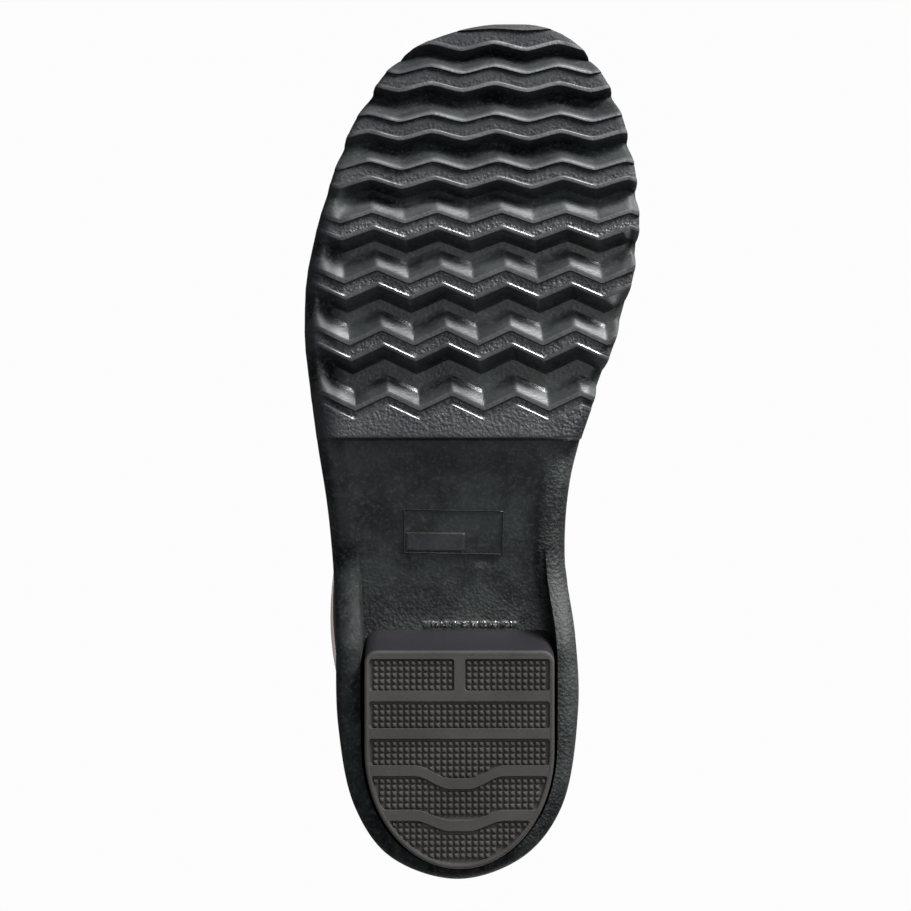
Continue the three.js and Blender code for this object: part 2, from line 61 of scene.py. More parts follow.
SPRING_START = -60.0


def ramp(low, high, value):
    """Smooth step from 0 at low to 1 at high; low may also be the larger one."""
    t = np.clip((np.asarray(value, float) - low) / (high - low), 0, 1)
    return t * t * (3 - 2 * t)


def dome(value, centre, width):
    """Soft bump of height 1 at the centre."""
    return np.exp(-((value - centre) / width) ** 2)


def spline_pieces(points, closed=False):
    """Hermite pieces of the centripetal Catmull-Rom curve through points, along the first axis."""
    p = np.asarray(points, float)
    if closed:
        p = np.concatenate([p[-1:], p, p[:2]])
    else:
        p = np.concatenate([2 * p[:1] - p[1:2], p, 2 * p[-1:] - p[-2:-1]])
    step = np.sqrt(np.linalg.norm(np.diff(p, axis=0), axis=-1, keepdims=True)) + 1e-9
    a, b, c = step[:-2], step[1:-1], step[2:]
    p0, p1, p2, p3 = p[:-3], p[1:-2], p[2:-1], p[3:]
    leave = b * ((p1 - p0) / a - (p2 - p0) / (a + b) + (p2 - p1) / b)
    arrive = b * ((p2 - p1) / b - (p3 - p1) / (b + c) + (p3 - p2) / c)
    square = -3 * p1 + 3 * p2 - 2 * leave - arrive
    cube = 2 * p1 - 2 * p2 + leave + arrive
    return p1, leave, square, cube


def on_pieces(pieces, t, lanes=()):
    """Points at positions t, counted in pieces; lanes picks one of several curves side by side."""
    k = np.clip(np.floor(t).astype(int), 0, len(pieces[0]) - 1)
    w = (t - k)[..., None]
    start, leave, square, cube = (part[(k, *lanes)] for part in pieces)
    return start + w * (leave + w * (square + w * cube))


edge_points = [HEEL_TIP, *LATERAL_EDGE, TOE_TIP, *MEDIAL_EDGE]
edge_loop = on_pieces(spline_pieces(edge_points, closed=True), np.linspace(0, len(edge_points), 1001))
edge_length = np.append(0, np.cumsum(np.linalg.norm(np.diff(edge_loop, axis=0), axis=1)))
edge_length /= edge_length[-1]


def outline_at(u, inset=0.0):
    """Point of the sole's edge at a turn u (0 at the heel, over the outer side), moved inwards."""
    def spot(turn):
        turn = np.mod(turn, 1.0)
        return np.stack([np.interp(turn, edge_length, edge_loop[:, k]) for k in (0, 1)], -1)
    along = spot(u + 0.002) - spot(u - 0.002)
    along /= np.linalg.norm(along, axis=-1, keepdims=True)
    inset = np.asarray(inset, float)
    return spot(u) + np.stack([-along[..., 1] * inset, along[..., 0] * inset], -1)


def edges_at(y):
    """Outer and inner x of the sole's edge at y."""
    toe = int(np.argmin(edge_loop[:, 1]))
    lateral = np.interp(-y, -edge_loop[:toe + 1, 1], edge_loop[:toe + 1, 0])
    medial = np.interp(y, edge_loop[toe:, 1], edge_loop[toe:, 0])
    return lateral, medial


def toe_rise(y):
    reach = SPRING_START + SOLE_LENGTH / 2
    return TOE_SPRING * (np.maximum(0, SPRING_START - y) / reach) ** 2


def sole_top(y):
    return FOREPART_TOP + toe_rise(y) + HEEL_PITCH * ramp(PITCH_START, PITCH_END, y)


def waist_bottom(y):
    return TREAD_DEPTH + toe_rise(y) + HEEL_PITCH * ramp(PITCH_START, PITCH_END - 6, y)


def closed_skin(outer, inner, wrap=False):
    """Vertices and faces of a closed solid between an outer and an inner grid of points."""
    rows, cols = outer.shape[:2]
    verts = np.concatenate([outer.reshape(-1, 3), inner.reshape(-1, 3)])
    number = np.arange(rows * cols * 2).reshape(2, rows, cols)
    if wrap:
        number = np.concatenate([number, number[:, :1]], axis=1)
    out, inn = number

    def quads(a, b, c, d):
        return np.stack([a, b, c, d], -1).reshape(-1, 4)

    faces = [
        quads(out[:-1, :-1], out[1:, :-1], out[1:, 1:], out[:-1, 1:]),
        quads(inn[:-1, :-1], inn[:-1, 1:], inn[1:, 1:], inn[1:, :-1]),
        quads(out[1:, 0], out[:-1, 0], inn[:-1, 0], inn[1:, 0]),
        quads(out[:-1, -1], out[1:, -1], inn[1:, -1], inn[:-1, -1]),
    ]
    if not wrap:
        faces.append(quads(out[0, :-1], out[0, 1:], inn[0, 1:], inn[0, :-1]))
        faces.append(quads(out[-1, 1:], out[-1, :-1], inn[-1, :-1], inn[-1, 1:]))
    return verts, np.concatenate(faces)


def make_piece(name, skins, material, marks=None, crease=35):
    """Object from (vertices, faces) in millimetres, with a material and named point values."""
    verts, faces, start = [], [], 0
    for skin_verts, skin_faces in skins:
        verts.append(skin_verts)
        faces.extend((skin_faces + start).tolist())
        start += len(skin_verts)
    mesh = bpy.data.meshes.new(name)
    mesh.from_pydata((np.concatenate(verts) * MM).tolist(), [], faces)
    for key, values in (marks or {}).items():
        layer = mesh.attributes.new(key, "FLOAT", "POINT")
        layer.data.foreach_set("value", np.asarray(values, np.float32))
    shaped = bmesh.new()
    shaped.from_mesh(mesh)
    bmesh.ops.recalc_face_normals(shaped, faces=shaped.faces)
    shaped.to_mesh(mesh)
    shaped.free()
    mesh.shade_smooth()
    mesh.set_sharp_from_angle(angle=math.radians(crease))
    mesh.materials.append(material)
    piece = bpy.data.objects.new(name, mesh)
    bpy.context.scene.collection.objects.link(piece)
    return piece


def stand_for(piece, node):
    """The piece is fixed to the boot and takes the place of a CAD node, which is hidden."""
    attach(piece, "root")
    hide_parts(node)


RIDGE_START = [-151, -136, -118.6, -101.6, -83.6, -63.1, -41.5, -18.4]
ZIGZAG_PITCH = 22.8
CREST_X = -15.0
CREST_DRIFT = 0.165
APRON_END = -4.4
GROOVE_STEP = 1.6
LAND_END = 7.35
# Cross-section of a ridge from toe to heel: distance from its front edge, depth (1 is the floor
# of the tread), and 1 where the narrow band sunk in its top is rough.
RIDGE_TOE_SIDE = [
    (-6.0, 1.0, 0), (-4.7, 0.9, 0), (-4.3, 0.84, 0), (-2.2, 0.44, 0), (-0.35, 0.07, 0), (-0.1, 0.012, 0),
    (0.2, 0, 0), (1.0, 0, 0), (1.65, 0, 0), (1.8, 0.02, 0), (2.0, 0.15, 0), (2.15, 0.18, 1), (3.2, 0.18, 1),
]
RIDGE_HEEL_SIDE = [
    (4.4, 0.18, 1), (5.6, 0.18, 1), (5.75, 0.16, 0), (6.0, 0.02, 0), (6.2, 0, 0), (7.0, 0, 0),
    (LAND_END, 0.012, 0), (7.65, 0.08, 0), (9.6, 0.52, 0), (11.4, 0.95, 0), (11.9, 1.0, 0),
]
APRON_SIDE = [(4.1, 0.18, 1), (4.35, 0.16, 0), (4.65, 0.02, 0), (4.9, 0, 0)]


def tread_rows():
    """Rows of the underside: y, share of the zigzag, depth and roughness of the sunk band. The
    ridges near the toe have steeper sides."""
    rows = [(-152.3, 0, 0.12, 0), (-151.9, 0.2, 0.05, 0), (-151.2, 0.4, 0, 0)]
    for start in RIDGE_START:
        heel_side = APRON_SIDE if start == RIDGE_START[-1] else RIDGE_HEEL_SIDE
        at_ball = ramp(-108, -70, start)
        steeper = 0.42 + 0.58 * at_ball
        toe_side = [(min(at, at * steeper), depth, grit) for at, depth, grit in RIDGE_TOE_SIDE]
        shorter = 0.72 + 0.28 * at_ball
        heel_side = [(at + (shorter - 1) * max(0, at - LAND_END), depth, grit)
                     for at, depth, grit in heel_side]
        for at, depth, grit in toe_side + heel_side:
            last_y, _, last_depth, _ = rows[-1]
            gap = start + at - last_y
            if gap <= 0:
                continue
            extra = int(gap // GROOVE_STEP)
            for part in np.arange(1, extra + 1) / (extra + 1):
                rows.append((last_y + gap * part, 1, last_depth + (depth - last_depth) * part, 0))
            rows.append((start + at, 1, depth, grit))
    apron = rows[-1][0]
    for part in np.linspace(0.1, 1, 10):
        rows.append((apron + (APRON_END - 0.5 - apron) * part, 1 - part, 0, 0.6 * (1 - part) + 0.4))
    rows += [(APRON_END - 0.15, 0, 0.015, 0), (APRON_END + 0.1, 0, 0.1, 0),
             (APRON_END + 0.5, 0, 0.93, 0), (APRON_END + 0.9, 0, 1.0, 0)]
    waist = [*np.arange(-2.4, 60, 1.0), *np.arange(60, 67, 0.4), *np.arange(67, 152, 3.0), 152.2]
    return np.array(rows + [(y, 0, 1, 0) for y in waist], float)


def zigzag(x, y):
    """Zigzag of the ridges: a sharp triangle at the ball, flatter and rounder at the toe. Its
    crests drift to the inner side from the toe back."""
    row = np.interp(y, RIDGE_START, np.arange(len(RIDGE_START)))
    crest = CREST_X + CREST_DRIFT * row ** 2
    phase = np.mod((x - crest) / ZIGZAG_PITCH + 0.5, 1) - 0.5
    triangle = 4 * np.sqrt(phase ** 2 + 0.015 ** 2) - 1
    curl = 0.5 - 0.48 * ramp(-112, -70, y)
    swing = 1.3 + 1.4 * ramp(-122, -35, y)
    return swing * ((1 - curl) * triangle - curl * np.cos(2 * np.pi * phase))


def distance_to_edge(x, y):
    """Distance of points from the sole's edge, taken as a chain of short straight pieces."""
    rim = outline_at(np.linspace(0, 1, 401))
    start, along = rim[:-1], np.diff(rim, axis=0)
    square = (along ** 2).sum(-1)
    flat = np.stack([x.ravel(), y.ravel()], -1)
    chunk = 20000
    parts = []
    for k in range(0, len(flat), chunk):
        reach = flat[k:k + chunk, None] - start
        share = np.clip((reach * along).sum(-1) / square, 0, 1)
        parts.append(np.sqrt(((reach - share[..., None] * along) ** 2).sum(-1)).min(1))
    return np.concatenate(parts).reshape(x.shape)


def rim_lift(away, radius):
    """How far the underside curls up near the edge of the sole: a quarter round, flattened."""
    near = np.clip(1 - away / radius, 0, 1)
    return radius * 0.75 * (1 - np.sqrt(1 - near ** 2 * 0.985))


WAIST_ROUND = 8.5
EDGE_ROUND = 2.6
MARGIN_PROUD = 0.8


def tread_skin():
    """Underside with its ridges, waist and web over the heel, and its point values."""
    rows = tread_rows()
    columns = np.unique(np.concatenate([np.linspace(0, 1, 161), [0.002, 0.004, 0.996, 0.998]]))
    y0, share, depth, grit = (rows[:, k:k + 1] for k in range(4))
    y = y0 + 0 * columns
    for _ in range(6):
        lateral, medial = edges_at(np.clip(y, TOE_TIP[1] + 0.05, HEEL_TIP[1] - 0.1))
        x = lateral + (medial - lateral) * columns
        y = y0 + share * zigzag(x, y0) * ramp(-152.5, -146, y0)
    away = distance_to_edge(x, y)
    middle = (lateral + medial) / 2
    outer_side = ramp(8, -8, x - middle)
    waist = ramp(-16, 2, y)
    # The ridges fade out in a smooth margin along the outer edge of the ball.
    smooth_margin = outer_side * (1 - ramp(3.2, 10.5, away)) * ramp(-125, -80, y) * ramp(16, -8, y) * 0.88
    fade = 1 - smooth_margin
    z = toe_rise(y) + (waist_bottom(y) - toe_rise(y)) * depth * fade
    radius = EDGE_ROUND + (WAIST_ROUND - EDGE_ROUND) * np.maximum(outer_side * ramp(-110, -60, y), waist)
    z += rim_lift(away, radius)
    # The inner margin of the waist stands proud, and two dents are pressed into the waist.
    shoulder = ramp(11.5, 9.0, away) * ramp(2, 16, y) * ramp(64, 60, y) * ramp(0, 10, x - middle)
    z -= MARGIN_PROUD * shoulder
    z += 1.3 * dome(x, 31, 3.2) * dome(y, 1, 3.4) + 0.9 * dome(x, 4.6, 4.2) * dome(y, 39.3, 1.7)
    # A line of ragged moulding flash lies in front of the heel.
    flash = ramp(61.0, 61.8, y) * ramp(63.6, 62.9, y) * ramp(18, 15, np.abs(x + 0.6))
    wander = np.sin(x * 2.9) * np.sin(x * 1.13 + 2) + 0.6 * np.sin(x * 5.3 + y * 3)
    z -= flash * (0.35 + 0.3 * wander)
    # The grooves cut into the side wall of the sole.
    hollow = np.minimum(depth * fade + 0.25 * (1 - depth), 1) * ramp(4.5, 0, away) * (1 - waist)
    x = x + np.sign(middle - x) * 0.9 * hollow * depth
    under = np.stack([x, y, z], -1)
    upper = np.stack([x, y, np.maximum(sole_top(y), z + 0.2)], -1)
    # Where the rubber is greyer, rough with painted sparkle, dusty with flash, pebbled, and dull.
    marks = {
        "land": (1 - depth) * (1 - waist * (y > APRON_END + 0.6)),
        "grit": grit * (1 - smooth_margin),
        "dust": flash,
        "pebble": waist * np.maximum(ramp(13, 7, away) * ramp(0, 10, x - middle), 0.55 * ramp(30, 58, y)),
        "scuff": np.maximum.reduce([
            outer_side * ramp(15, 8, away) * ramp(4, -12, y), ramp(5, 2, away),
            ramp(13, 8, away) * ramp(20, 42, y), (0.5 + 0.65 * ramp(0.02, 0.2, depth)) * ramp(-70, -105, y)]),
    }
    return closed_skin(upper, under), {key: np.tile(value.ravel(), 2) for key, value in marks.items()}


HEEL_AXIS = -4.3
HEEL_HALF_WIDTH = 33.6
HEEL_ARC_Y = 106.0
HEEL_ARC_LENGTH = 42.0
BREAST_Y = 71.0
RIM_BOTTOM = 5.6
RIM_START = 31.0


def heel_side_inset(u):
    """How far the heel block's side lies inside the sole's edge, at turns round the heel."""
    spot = outline_at(u)
    inward = outline_at(u, 1.0) - spot
    reach = np.linspace(0, 22, 221)
    trail = spot[:, None] + inward[:, None] * reach[None, :, None]
    across = (trail[..., 0] - HEEL_AXIS) / (HEEL_HALF_WIDTH + 0.4)
    back = np.maximum(trail[..., 1] - HEEL_ARC_Y, 0) / (HEEL_ARC_LENGTH + 0.4)
    return reach[np.argmax(across ** 2 + back ** 2 < 1, axis=1)]


def heel_rim_skin():
    """Wall round the heel block, growing out of the margins of the waist."""
    turns = np.linspace(-0.5, 0.5, 1201)
    turns = turns[outline_at(turns)[:, 1] > RIM_START]
    y = outline_at(turns)[:, 1]
    inset = heel_side_inset(turns)
    breast = y > BREAST_Y
    inset = np.where(breast, inset, np.where(turns > 0, inset[breast][-1], inset[breast][0]))
    inset = np.convolve(np.pad(inset, 6, mode="edge"), np.ones(13) / 13, "valid")[:, None]
    across = np.array([1, 1, 0.995, 0.97, 0.93, 0.88, 0.82, 0.75, 0.67, 0.58, 0.48, 0.38, 0.28, 0.2,
                       0.13, 0.08, 0.04, 0.015, 0, 0, 0, 0])
    grown = ramp(RIM_START + 1, 73, y)[:, None] * ramp(1, 0.88, across)
    shoulder = ramp(11.5, 9.0, inset * across) * (ramp(64, 60, y) * (turns < 0))[:, None]
    base = waist_bottom(y)[:, None] + 0.06 - MARGIN_PROUD * shoulder
    radius = WAIST_ROUND - 2.0 * grown[:, -1:]
    z = base - grown * (base - RIM_BOTTOM) + rim_lift(inset * across, radius)
    z[:, 0] = base[:, 0] + 3
    # The last columns climb the outside of the wall.
    top = sole_top(y) - 0.5
    for k, part in ((-3, 0.25), (-2, 0.6), (-1, 1.0)):
        z[:, k] = z[:, -4] + (top - z[:, -4]) * part
    z = np.minimum(z, top[:, None])
    place = outline_at(turns[:, None] + 0 * across, inset * across + 0.04)
    skin = np.concatenate([place, z[..., None]], -1)
    back_place = outline_at(turns[:, None] + 0 * across, inset * (0.15 + 0.7 * across) + 0.3)
    back = np.concatenate([back_place, (top[:, None] + 0.3 + 0 * across)[..., None]], -1)
    return closed_skin(back, skin)


LABEL_CENTRE = (-6.4, 29.1)
LABEL_HALF = (17.9, 8.0)
LABEL_TURN = math.radians(1.0)
LABEL_LINE = 0.6
LABEL_PROUD = 0.75
TAB_CORNER = (4.2, 0.2)
TAB_GAP = 0.9
TAB_PROUD = 0.6


def raised_patch(low_x, high_x, low_y, high_y, proud):
    """Raised patch on the waist, placed from the label's middle and turned with it."""
    s, t = np.meshgrid(np.linspace(0, 1, 25), np.linspace(0, 1, 13), indexing="ij")
    along, across = low_x + (high_x - low_x) * s, low_y + (high_y - low_y) * t
    x = LABEL_CENTRE[0] + along * math.cos(LABEL_TURN) - across * math.sin(LABEL_TURN)
    y = LABEL_CENTRE[1] + along * math.sin(LABEL_TURN) + across * math.cos(LABEL_TURN)
    edge = np.minimum(np.minimum(along - low_x, high_x - along), np.minimum(across - low_y, high_y - across))
    face = np.stack([x, y, waist_bottom(y) - proud * ramp(-0.1, 0.3, edge)], -1)
    back = np.stack([x, y, waist_bottom(y) + 0.6], -1)
    return closed_skin(face, back)


def label_skins():
    """The moulder's plate in the waist, left blank: a raised line round it and a flat tab."""
    half_x, half_y = LABEL_HALF
    near_x, near_y = half_x - LABEL_LINE, half_y - LABEL_LINE
    return [
        raised_patch(-half_x, half_x, -half_y, -near_y, LABEL_PROUD),
        raised_patch(-half_x, half_x, near_y, half_y, LABEL_PROUD),
        raised_patch(-half_x, -near_x, -half_y, half_y, LABEL_PROUD),
        raised_patch(near_x, half_x, -half_y, half_y, LABEL_PROUD),
        raised_patch(-half_x + TAB_GAP, TAB_CORNER[0], TAB_CORNER[1], half_y - TAB_GAP, TAB_PROUD),
    ]


def linear(hex_colour):
    """sRGB hex value to linear RGBA."""
    parts = [int(hex_colour[k:k + 2], 16) / 255 for k in (1, 3, 5)]
    return (*[c / 12.92 if c <= 0.04045 else ((c + 0.055) / 1.055) ** 2.4 for c in parts], 1.0)


def new_material(name):
    """Empty node material with a Principled shader, and the shader."""
    material = bpy.data.materials.new(name)
    material.use_nodes = True
    shader = material.node_tree.nodes["Principled BSDF"]
    return material, shader


def feed(material, node, inputs):
    """Sets the inputs of a node; each is a value or another node's output."""
    for key, value in inputs.items():
        if isinstance(value, bpy.types.NodeSocket):
            material.node_tree.links.new(value, node.inputs[key])
        else:
            node.inputs[key].default_value = value


def add_node(material, kind, settings=None, inputs=None, stops=()):
    """Node with its settings, its inputs, and the places and colours of the stops of its ramp."""
    node = material.node_tree.nodes.new(kind)
    for key, value in (settings or {}).items():
        setattr(node, key, value)
    for k, (position, colour) in enumerate(stops):
        node.color_ramp.elements[k].position = position
        node.color_ramp.elements[k].color = linear(colour)
    feed(material, node, inputs or {})
    return node


def per_metre(millimetres):
    """Texture scale whose pattern repeats about every so many millimetres."""
    return 1 / (millimetres * MM)


def moulded_black_rubber():
    """Nitrile rubber from a steel mould: greenish black, mottled with bloom in the hollows, greyer
    on the treads, with a fine pebble that sparkles in raking light, and pale specks that stand
    thicker in the rough bands as painted sparkle."""
    material, shader = new_material("rubber_moulded_black")
    where = add_node(material, "ShaderNodeTexCoord").outputs["Object"]
    land, grit, dust, pebbled, scuff = (
        add_node(material, "ShaderNodeAttribute", {"attribute_name": name}).outputs["Fac"]
        for name in ("land", "grit", "dust", "pebble", "scuff"))
    blotch = add_node(material, "ShaderNodeTexNoise", {}, {
        "Vector": where, "Scale": per_metre(17), "Detail": 5.0, "Roughness": 0.62}).outputs["Fac"]
    speck = add_node(material, "ShaderNodeTexNoise", {}, {
        "Vector": where, "Scale": per_metre(1.5), "Detail": 3.0, "Roughness": 0.75}).outputs["Fac"]
    # Colour: bloom in blotches, pale specks that stand thicker in the rough bands as painted sparkle, greyer
    # lands, and the dust of the flash.
    bloom = add_node(material, "ShaderNodeValToRGB", {}, {"Fac": blotch},
                     [(0.4, "#0c0e0f"), (0.62, "#2b302e")])
    dusty = add_node(material, "ShaderNodeMapRange", {}, {
        "Value": speck, "From Min": 0.5, "From Max": 0.72, "To Min": 0.0, "To Max": 1.0}).outputs["Result"]
    # Pale specks everywhere, about twice as strong in the rough bands: there they are painted sparkle.
    speck_and_sparkle_share = add_node(material, "ShaderNodeMath", {"operation": "MULTIPLY_ADD"}, {
        0: grit, 1: 0.35, 2: 0.34})
    speck_and_sparkle = add_node(material, "ShaderNodeMath", {"operation": "MULTIPLY"}, {
        0: dusty, 1: speck_and_sparkle_share.outputs[0]})
    speckled = add_node(material, "ShaderNodeMix", {"data_type": "RGBA"}, {
        "Factor": speck_and_sparkle.outputs[0], 6: bloom.outputs["Color"], 7: linear("#5b6364")})
    land_share = add_node(material, "ShaderNodeMath", {"operation": "MULTIPLY"}, {0: land, 1: 0.5})
    greyed = add_node(material, "ShaderNodeMix", {"data_type": "RGBA"}, {
        "Factor": land_share.outputs[0], 6: speckled.outputs[2], 7: linear("#33343a")})
    dust_share = add_node(material, "ShaderNodeMath", {"operation": "MULTIPLY"}, {0: dust, 1: dusty})
    flashed = add_node(material, "ShaderNodeMix", {"data_type": "RGBA"}, {
        "Factor": dust_share.outputs[0], 6: greyed.outputs[2], 7: linear("#b9bcb8")})
    # Sheen: satin, duller in the blotches and where the rubber is scuffed.
    matt = add_node(material, "ShaderNodeMapRange", {}, {
        "Value": blotch, "From Min": 0.3, "From Max": 0.7, "To Min": 0.31, "To Max": 0.43})
    roughness = add_node(material, "ShaderNodeMath", {"operation": "MULTIPLY_ADD"}, {
        0: scuff, 1: 0.32, 2: matt.outputs["Result"]})
    specular = add_node(material, "ShaderNodeMath", {"operation": "MULTIPLY_ADD"}, {
        0: scuff, 1: -0.4, 2: 0.5})
    # Relief: the pebble of the mould, strongest in the rough bands and on the inner margin.
    pebble = add_node(material, "ShaderNodeTexVoronoi", {"feature": "SMOOTH_F1"}, {
        "Vector": where, "Scale": per_metre(1.1), "Smoothness": 0.5}).outputs["Distance"]
    relief = add_node(material, "ShaderNodeMath", {"operation": "MULTIPLY_ADD"}, {
        0: speck, 1: 0.8, 2: pebble})
    grit_depth = add_node(material, "ShaderNodeMath", {"operation": "MULTIPLY"}, {0: grit, 1: 0.38})
    pebble_depth = add_node(material, "ShaderNodeMath", {"operation": "MULTIPLY_ADD"}, {
        0: pebbled, 1: 0.34, 2: 0.1})
    depth = add_node(material, "ShaderNodeMath", {"operation": "ADD"}, {
        0: grit_depth.outputs[0], 1: pebble_depth.outputs[0]})
    bump = add_node(material, "ShaderNodeBump", {}, {
        "Strength": depth.outputs[0], "Distance": 0.7 * MM, "Height": relief.outputs[0]})
    feed(material, shader, {
        "Base Color": flashed.outputs[2], "Roughness": roughness.outputs[0],
        "Specular IOR Level": specular.outputs[0], "IOR": 1.52, "Normal": bump.outputs["Normal"]})
    return material


sole_rubber = moulded_black_rubber()
tread, marks = tread_skin()
additions = [heel_rim_skin(), *label_skins()]
rim_points, tab_points = additions[0][0], additions[-1][0]
spare = sum(len(points) for points, _ in additions)
marks = {key: np.concatenate([values, np.zeros(spare)]) for key, values in marks.items()}
rim = slice(len(tread[0]), len(tread[0]) + len(rim_points))
marks["pebble"][rim] = 0.9 * ramp(0, 20, rim_points[:, 0])
marks["scuff"][rim] = 1.0
marks["scuff"][-len(tab_points):] = -0.5
# The label and its tab are coloured greyer, like the lands: partly wear on the raised line, partly a painted
# reflection on the plate.
marks["land"][rim.stop:] = 0.9
outsole = make_piece("outsole_rubber", [tread, *additions], sole_rubber, marks, crease=28)
stand_for(outsole, "outsole")

# ------------------------------------------------------------------ heel block
# Heel moulded apart in a harder brown-grey rubber, with a sloping breast and five rows of
# sunken panels of small pyramids for grip, and set into the wall of the outsole.
HEEL_HEIGHT = 21.4
BREAST_SLOPE = 0.31
HEEL_BORDER = 1.6
HEEL_RIB = 3.6
HEEL_CORNER = 4.5
PANEL_DEPTH = 1.25
PANEL_CORNER = 1.3
PYRAMID_PITCH = 2.2
PYRAMID_FIRST_Y = 75.2
PYRAMID_ROOM = 0.85
# Front and rear edge of each row of panels, and how far these edges bow to the rear.
HEEL_PANELS = [
    (73.7, 85.1, 0, 0), (88.7, 98.4, 0, 0), (101.9, 111.5, 0, 4.6), (115.1, 127.3, 4.6, 3.7),
    (130.9, 160, 3.7, 0),
]
INNER_HALF = HEEL_HALF_WIDTH - HEEL_BORDER
INNER_ARC = HEEL_ARC_LENGTH - HEEL_BORDER


def bow_share(x):
    return ramp(16, 3, np.abs(x - HEEL_AXIS))


def inside_panel(x, y):
    """Distance inwards from the edge of the nearest panel, its corners rounded."""
    across = np.abs(x - HEEL_AXIS)
    back = np.maximum(y - HEEL_ARC_Y, 0)
    reach = np.sqrt((across / INNER_HALF) ** 2 + (back / INNER_ARC) ** 2) + 1e-6
    slope = np.sqrt((across / INNER_HALF ** 2) ** 2 + (back / INNER_ARC ** 2) ** 2) + 1e-6
    side = np.where(back > 0, (1 - reach) * reach / slope, INNER_HALF - across)
    best = np.full(np.broadcast(x, y).shape, -9.0)
    for front, rear, front_bow, rear_bow in HEEL_PANELS:
        ends = np.minimum(y - front - front_bow * bow_share(x), rear + rear_bow * bow_share(x) - y)
        sides = np.minimum(side, across - HEEL_RIB / 2) if front == HEEL_PANELS[0][0] else side
        corner = PANEL_CORNER - np.hypot(PANEL_CORNER - ends, PANEL_CORNER - sides)
        rounded = (ends < PANEL_CORNER) & (sides < PANEL_CORNER)
        best = np.maximum(best, np.where(rounded, corner, np.minimum(ends, sides)))
    return best


def heel_field_skin():
    """Ground face of the heel inside its border, with the sunken panels."""
    close = np.array([-0.15, 0, 0.12, 0.25, 0.5, 0.9, 1.35])
    levels, bows = [72.4], [0.0]
    for front, rear, front_bow, rear_bow in HEEL_PANELS:
        rear = min(rear, HEEL_ARC_Y + INNER_ARC)
        inside = np.concatenate([front + close, np.arange(front + 2, rear - 1.8, 0.7), rear - close[::-1]])
        levels.extend(inside)
        bows.extend(np.interp(inside, [front, rear], [front_bow, rear_bow]))
    y0, bow = np.array(levels)[:, None], np.array(bows)[:, None]
    keep = y0[:, 0] < HEEL_ARC_Y + INNER_ARC - 0.02
    y0, bow = y0[keep], bow[keep]
    rib = HEEL_RIB / 2 / INNER_HALF
    half = np.concatenate([
        rib + np.array([-0.01, -0.003, 0, 0.004, 0.008, 0.016, 0.028, 0.042]),
        np.linspace(0.12, 0.94, 40),
        1 - np.array([0.042, 0.028, 0.016, 0.008, 0.004, 0, -0.005])])
    share = np.concatenate([-half[::-1], [0], half])
    y = y0 + 0 * share
    for _ in range(5):
        back = np.clip((y - HEEL_ARC_Y) / INNER_ARC, 0, 0.9995)
        x = HEEL_AXIS + share * INNER_HALF * np.sqrt(1 - back ** 2)
        y = np.minimum(y0 + bow * bow_share(x), HEEL_ARC_Y + INNER_ARC)
    z = 0.03 + PANEL_DEPTH * ramp(0, 0.28, inside_panel(x, y))
    return closed_skin(np.stack([x, y, z + 5], -1), np.stack([x, y, z], -1))


def heel_plan(inset):
    """Closed plan of the heel, moved inwards: rounded front corners and a half-oval back."""
    half, length, front = HEEL_HALF_WIDTH - inset, HEEL_ARC_LENGTH - inset, BREAST_Y + inset
    corner = max(HEEL_CORNER - inset, 0.6)
    turn = np.linspace(0, np.pi / 2, 9)[:, None]
    right = [half - corner, front + corner] + corner * np.concatenate([np.sin(turn), -np.cos(turn)], 1)
    flank = np.linspace([half, front + corner], [half, HEEL_ARC_Y], 16)[1:-1]
    sweep = np.linspace(0, np.pi, 90)[:, None]
    arc = np.concatenate([half * np.cos(sweep), HEEL_ARC_Y + length * np.sin(sweep)], 1)
    edge = np.linspace([-(half - corner), front], [half - corner, front], 24)[1:-1]
    mirrored = [-1, 1] * np.concatenate([right, flank])[::-1]
    return np.concatenate([edge, right, flank, arc, mirrored]) + [HEEL_AXIS, 0]


def heel_border_skin():
    """Border, breast and sides of the heel; the breast leans forward as it rises."""
    outside = [(1.75, 1.6), (1.66, 0.6), (1.58, 0.12), (1.42, 0), (0.8, 0), (0.4, 0.05), (0.16, 0.2),
               (0.02, 0.55), (0, 1.2), (0, 4), (0, 8), (0, 12), (0, 16.5), (0, HEEL_HEIGHT)]
    inside = [(2.2 + 0.35 * k, 1.9 + (HEEL_HEIGHT - 1.9) * k / 13) for k in range(14)]

    def swept(section):
        rings = []
        for inset, z in section:
            plan = heel_plan(inset)
            lean = BREAST_SLOPE * z * ramp(82, 73, plan[:, 1])
            rings.append(np.stack([plan[:, 0], plan[:, 1] - lean, np.full(len(plan), z)], -1))
        return np.stack(rings, 1)

    return closed_skin(swept(outside), swept(inside), wrap=True)


def pyramid_skins():
    """Small blunt pyramids on one square grid, wherever they fit in a panel."""
    sections = [(0.98, PANEL_DEPTH + 0.05), (0.86, PANEL_DEPTH - 0.1), (0.5, 0.5), (0.3, 0.38)]
    corners = np.array([(-1, -1), (1, -1), (1, 1), (-1, 1)])
    shape = np.concatenate([np.column_stack([corners * half, np.full(4, z)]) for half, z in sections])
    ring = np.arange(4)
    nxt = (ring + 1) % 4
    faces = [np.stack([ring + 4 * k, nxt + 4 * k, nxt + 4 * k + 4, ring + 4 * k + 4], 1) for k in range(3)]
    faces = np.concatenate([*faces, [[12, 13, 14, 15], [3, 2, 1, 0]]])
    xs = HEEL_AXIS + PYRAMID_PITCH * (np.arange(-16, 16) + 0.5)
    ys = PYRAMID_FIRST_Y + PYRAMID_PITCH * np.arange(34)
    grid_x, grid_y = (part.ravel() for part in np.meshgrid(xs, ys))
    room = inside_panel(grid_x, grid_y) > PYRAMID_ROOM
    return [(shape + [x, y, 0], faces) for x, y in zip(grid_x[room], grid_y[room])]


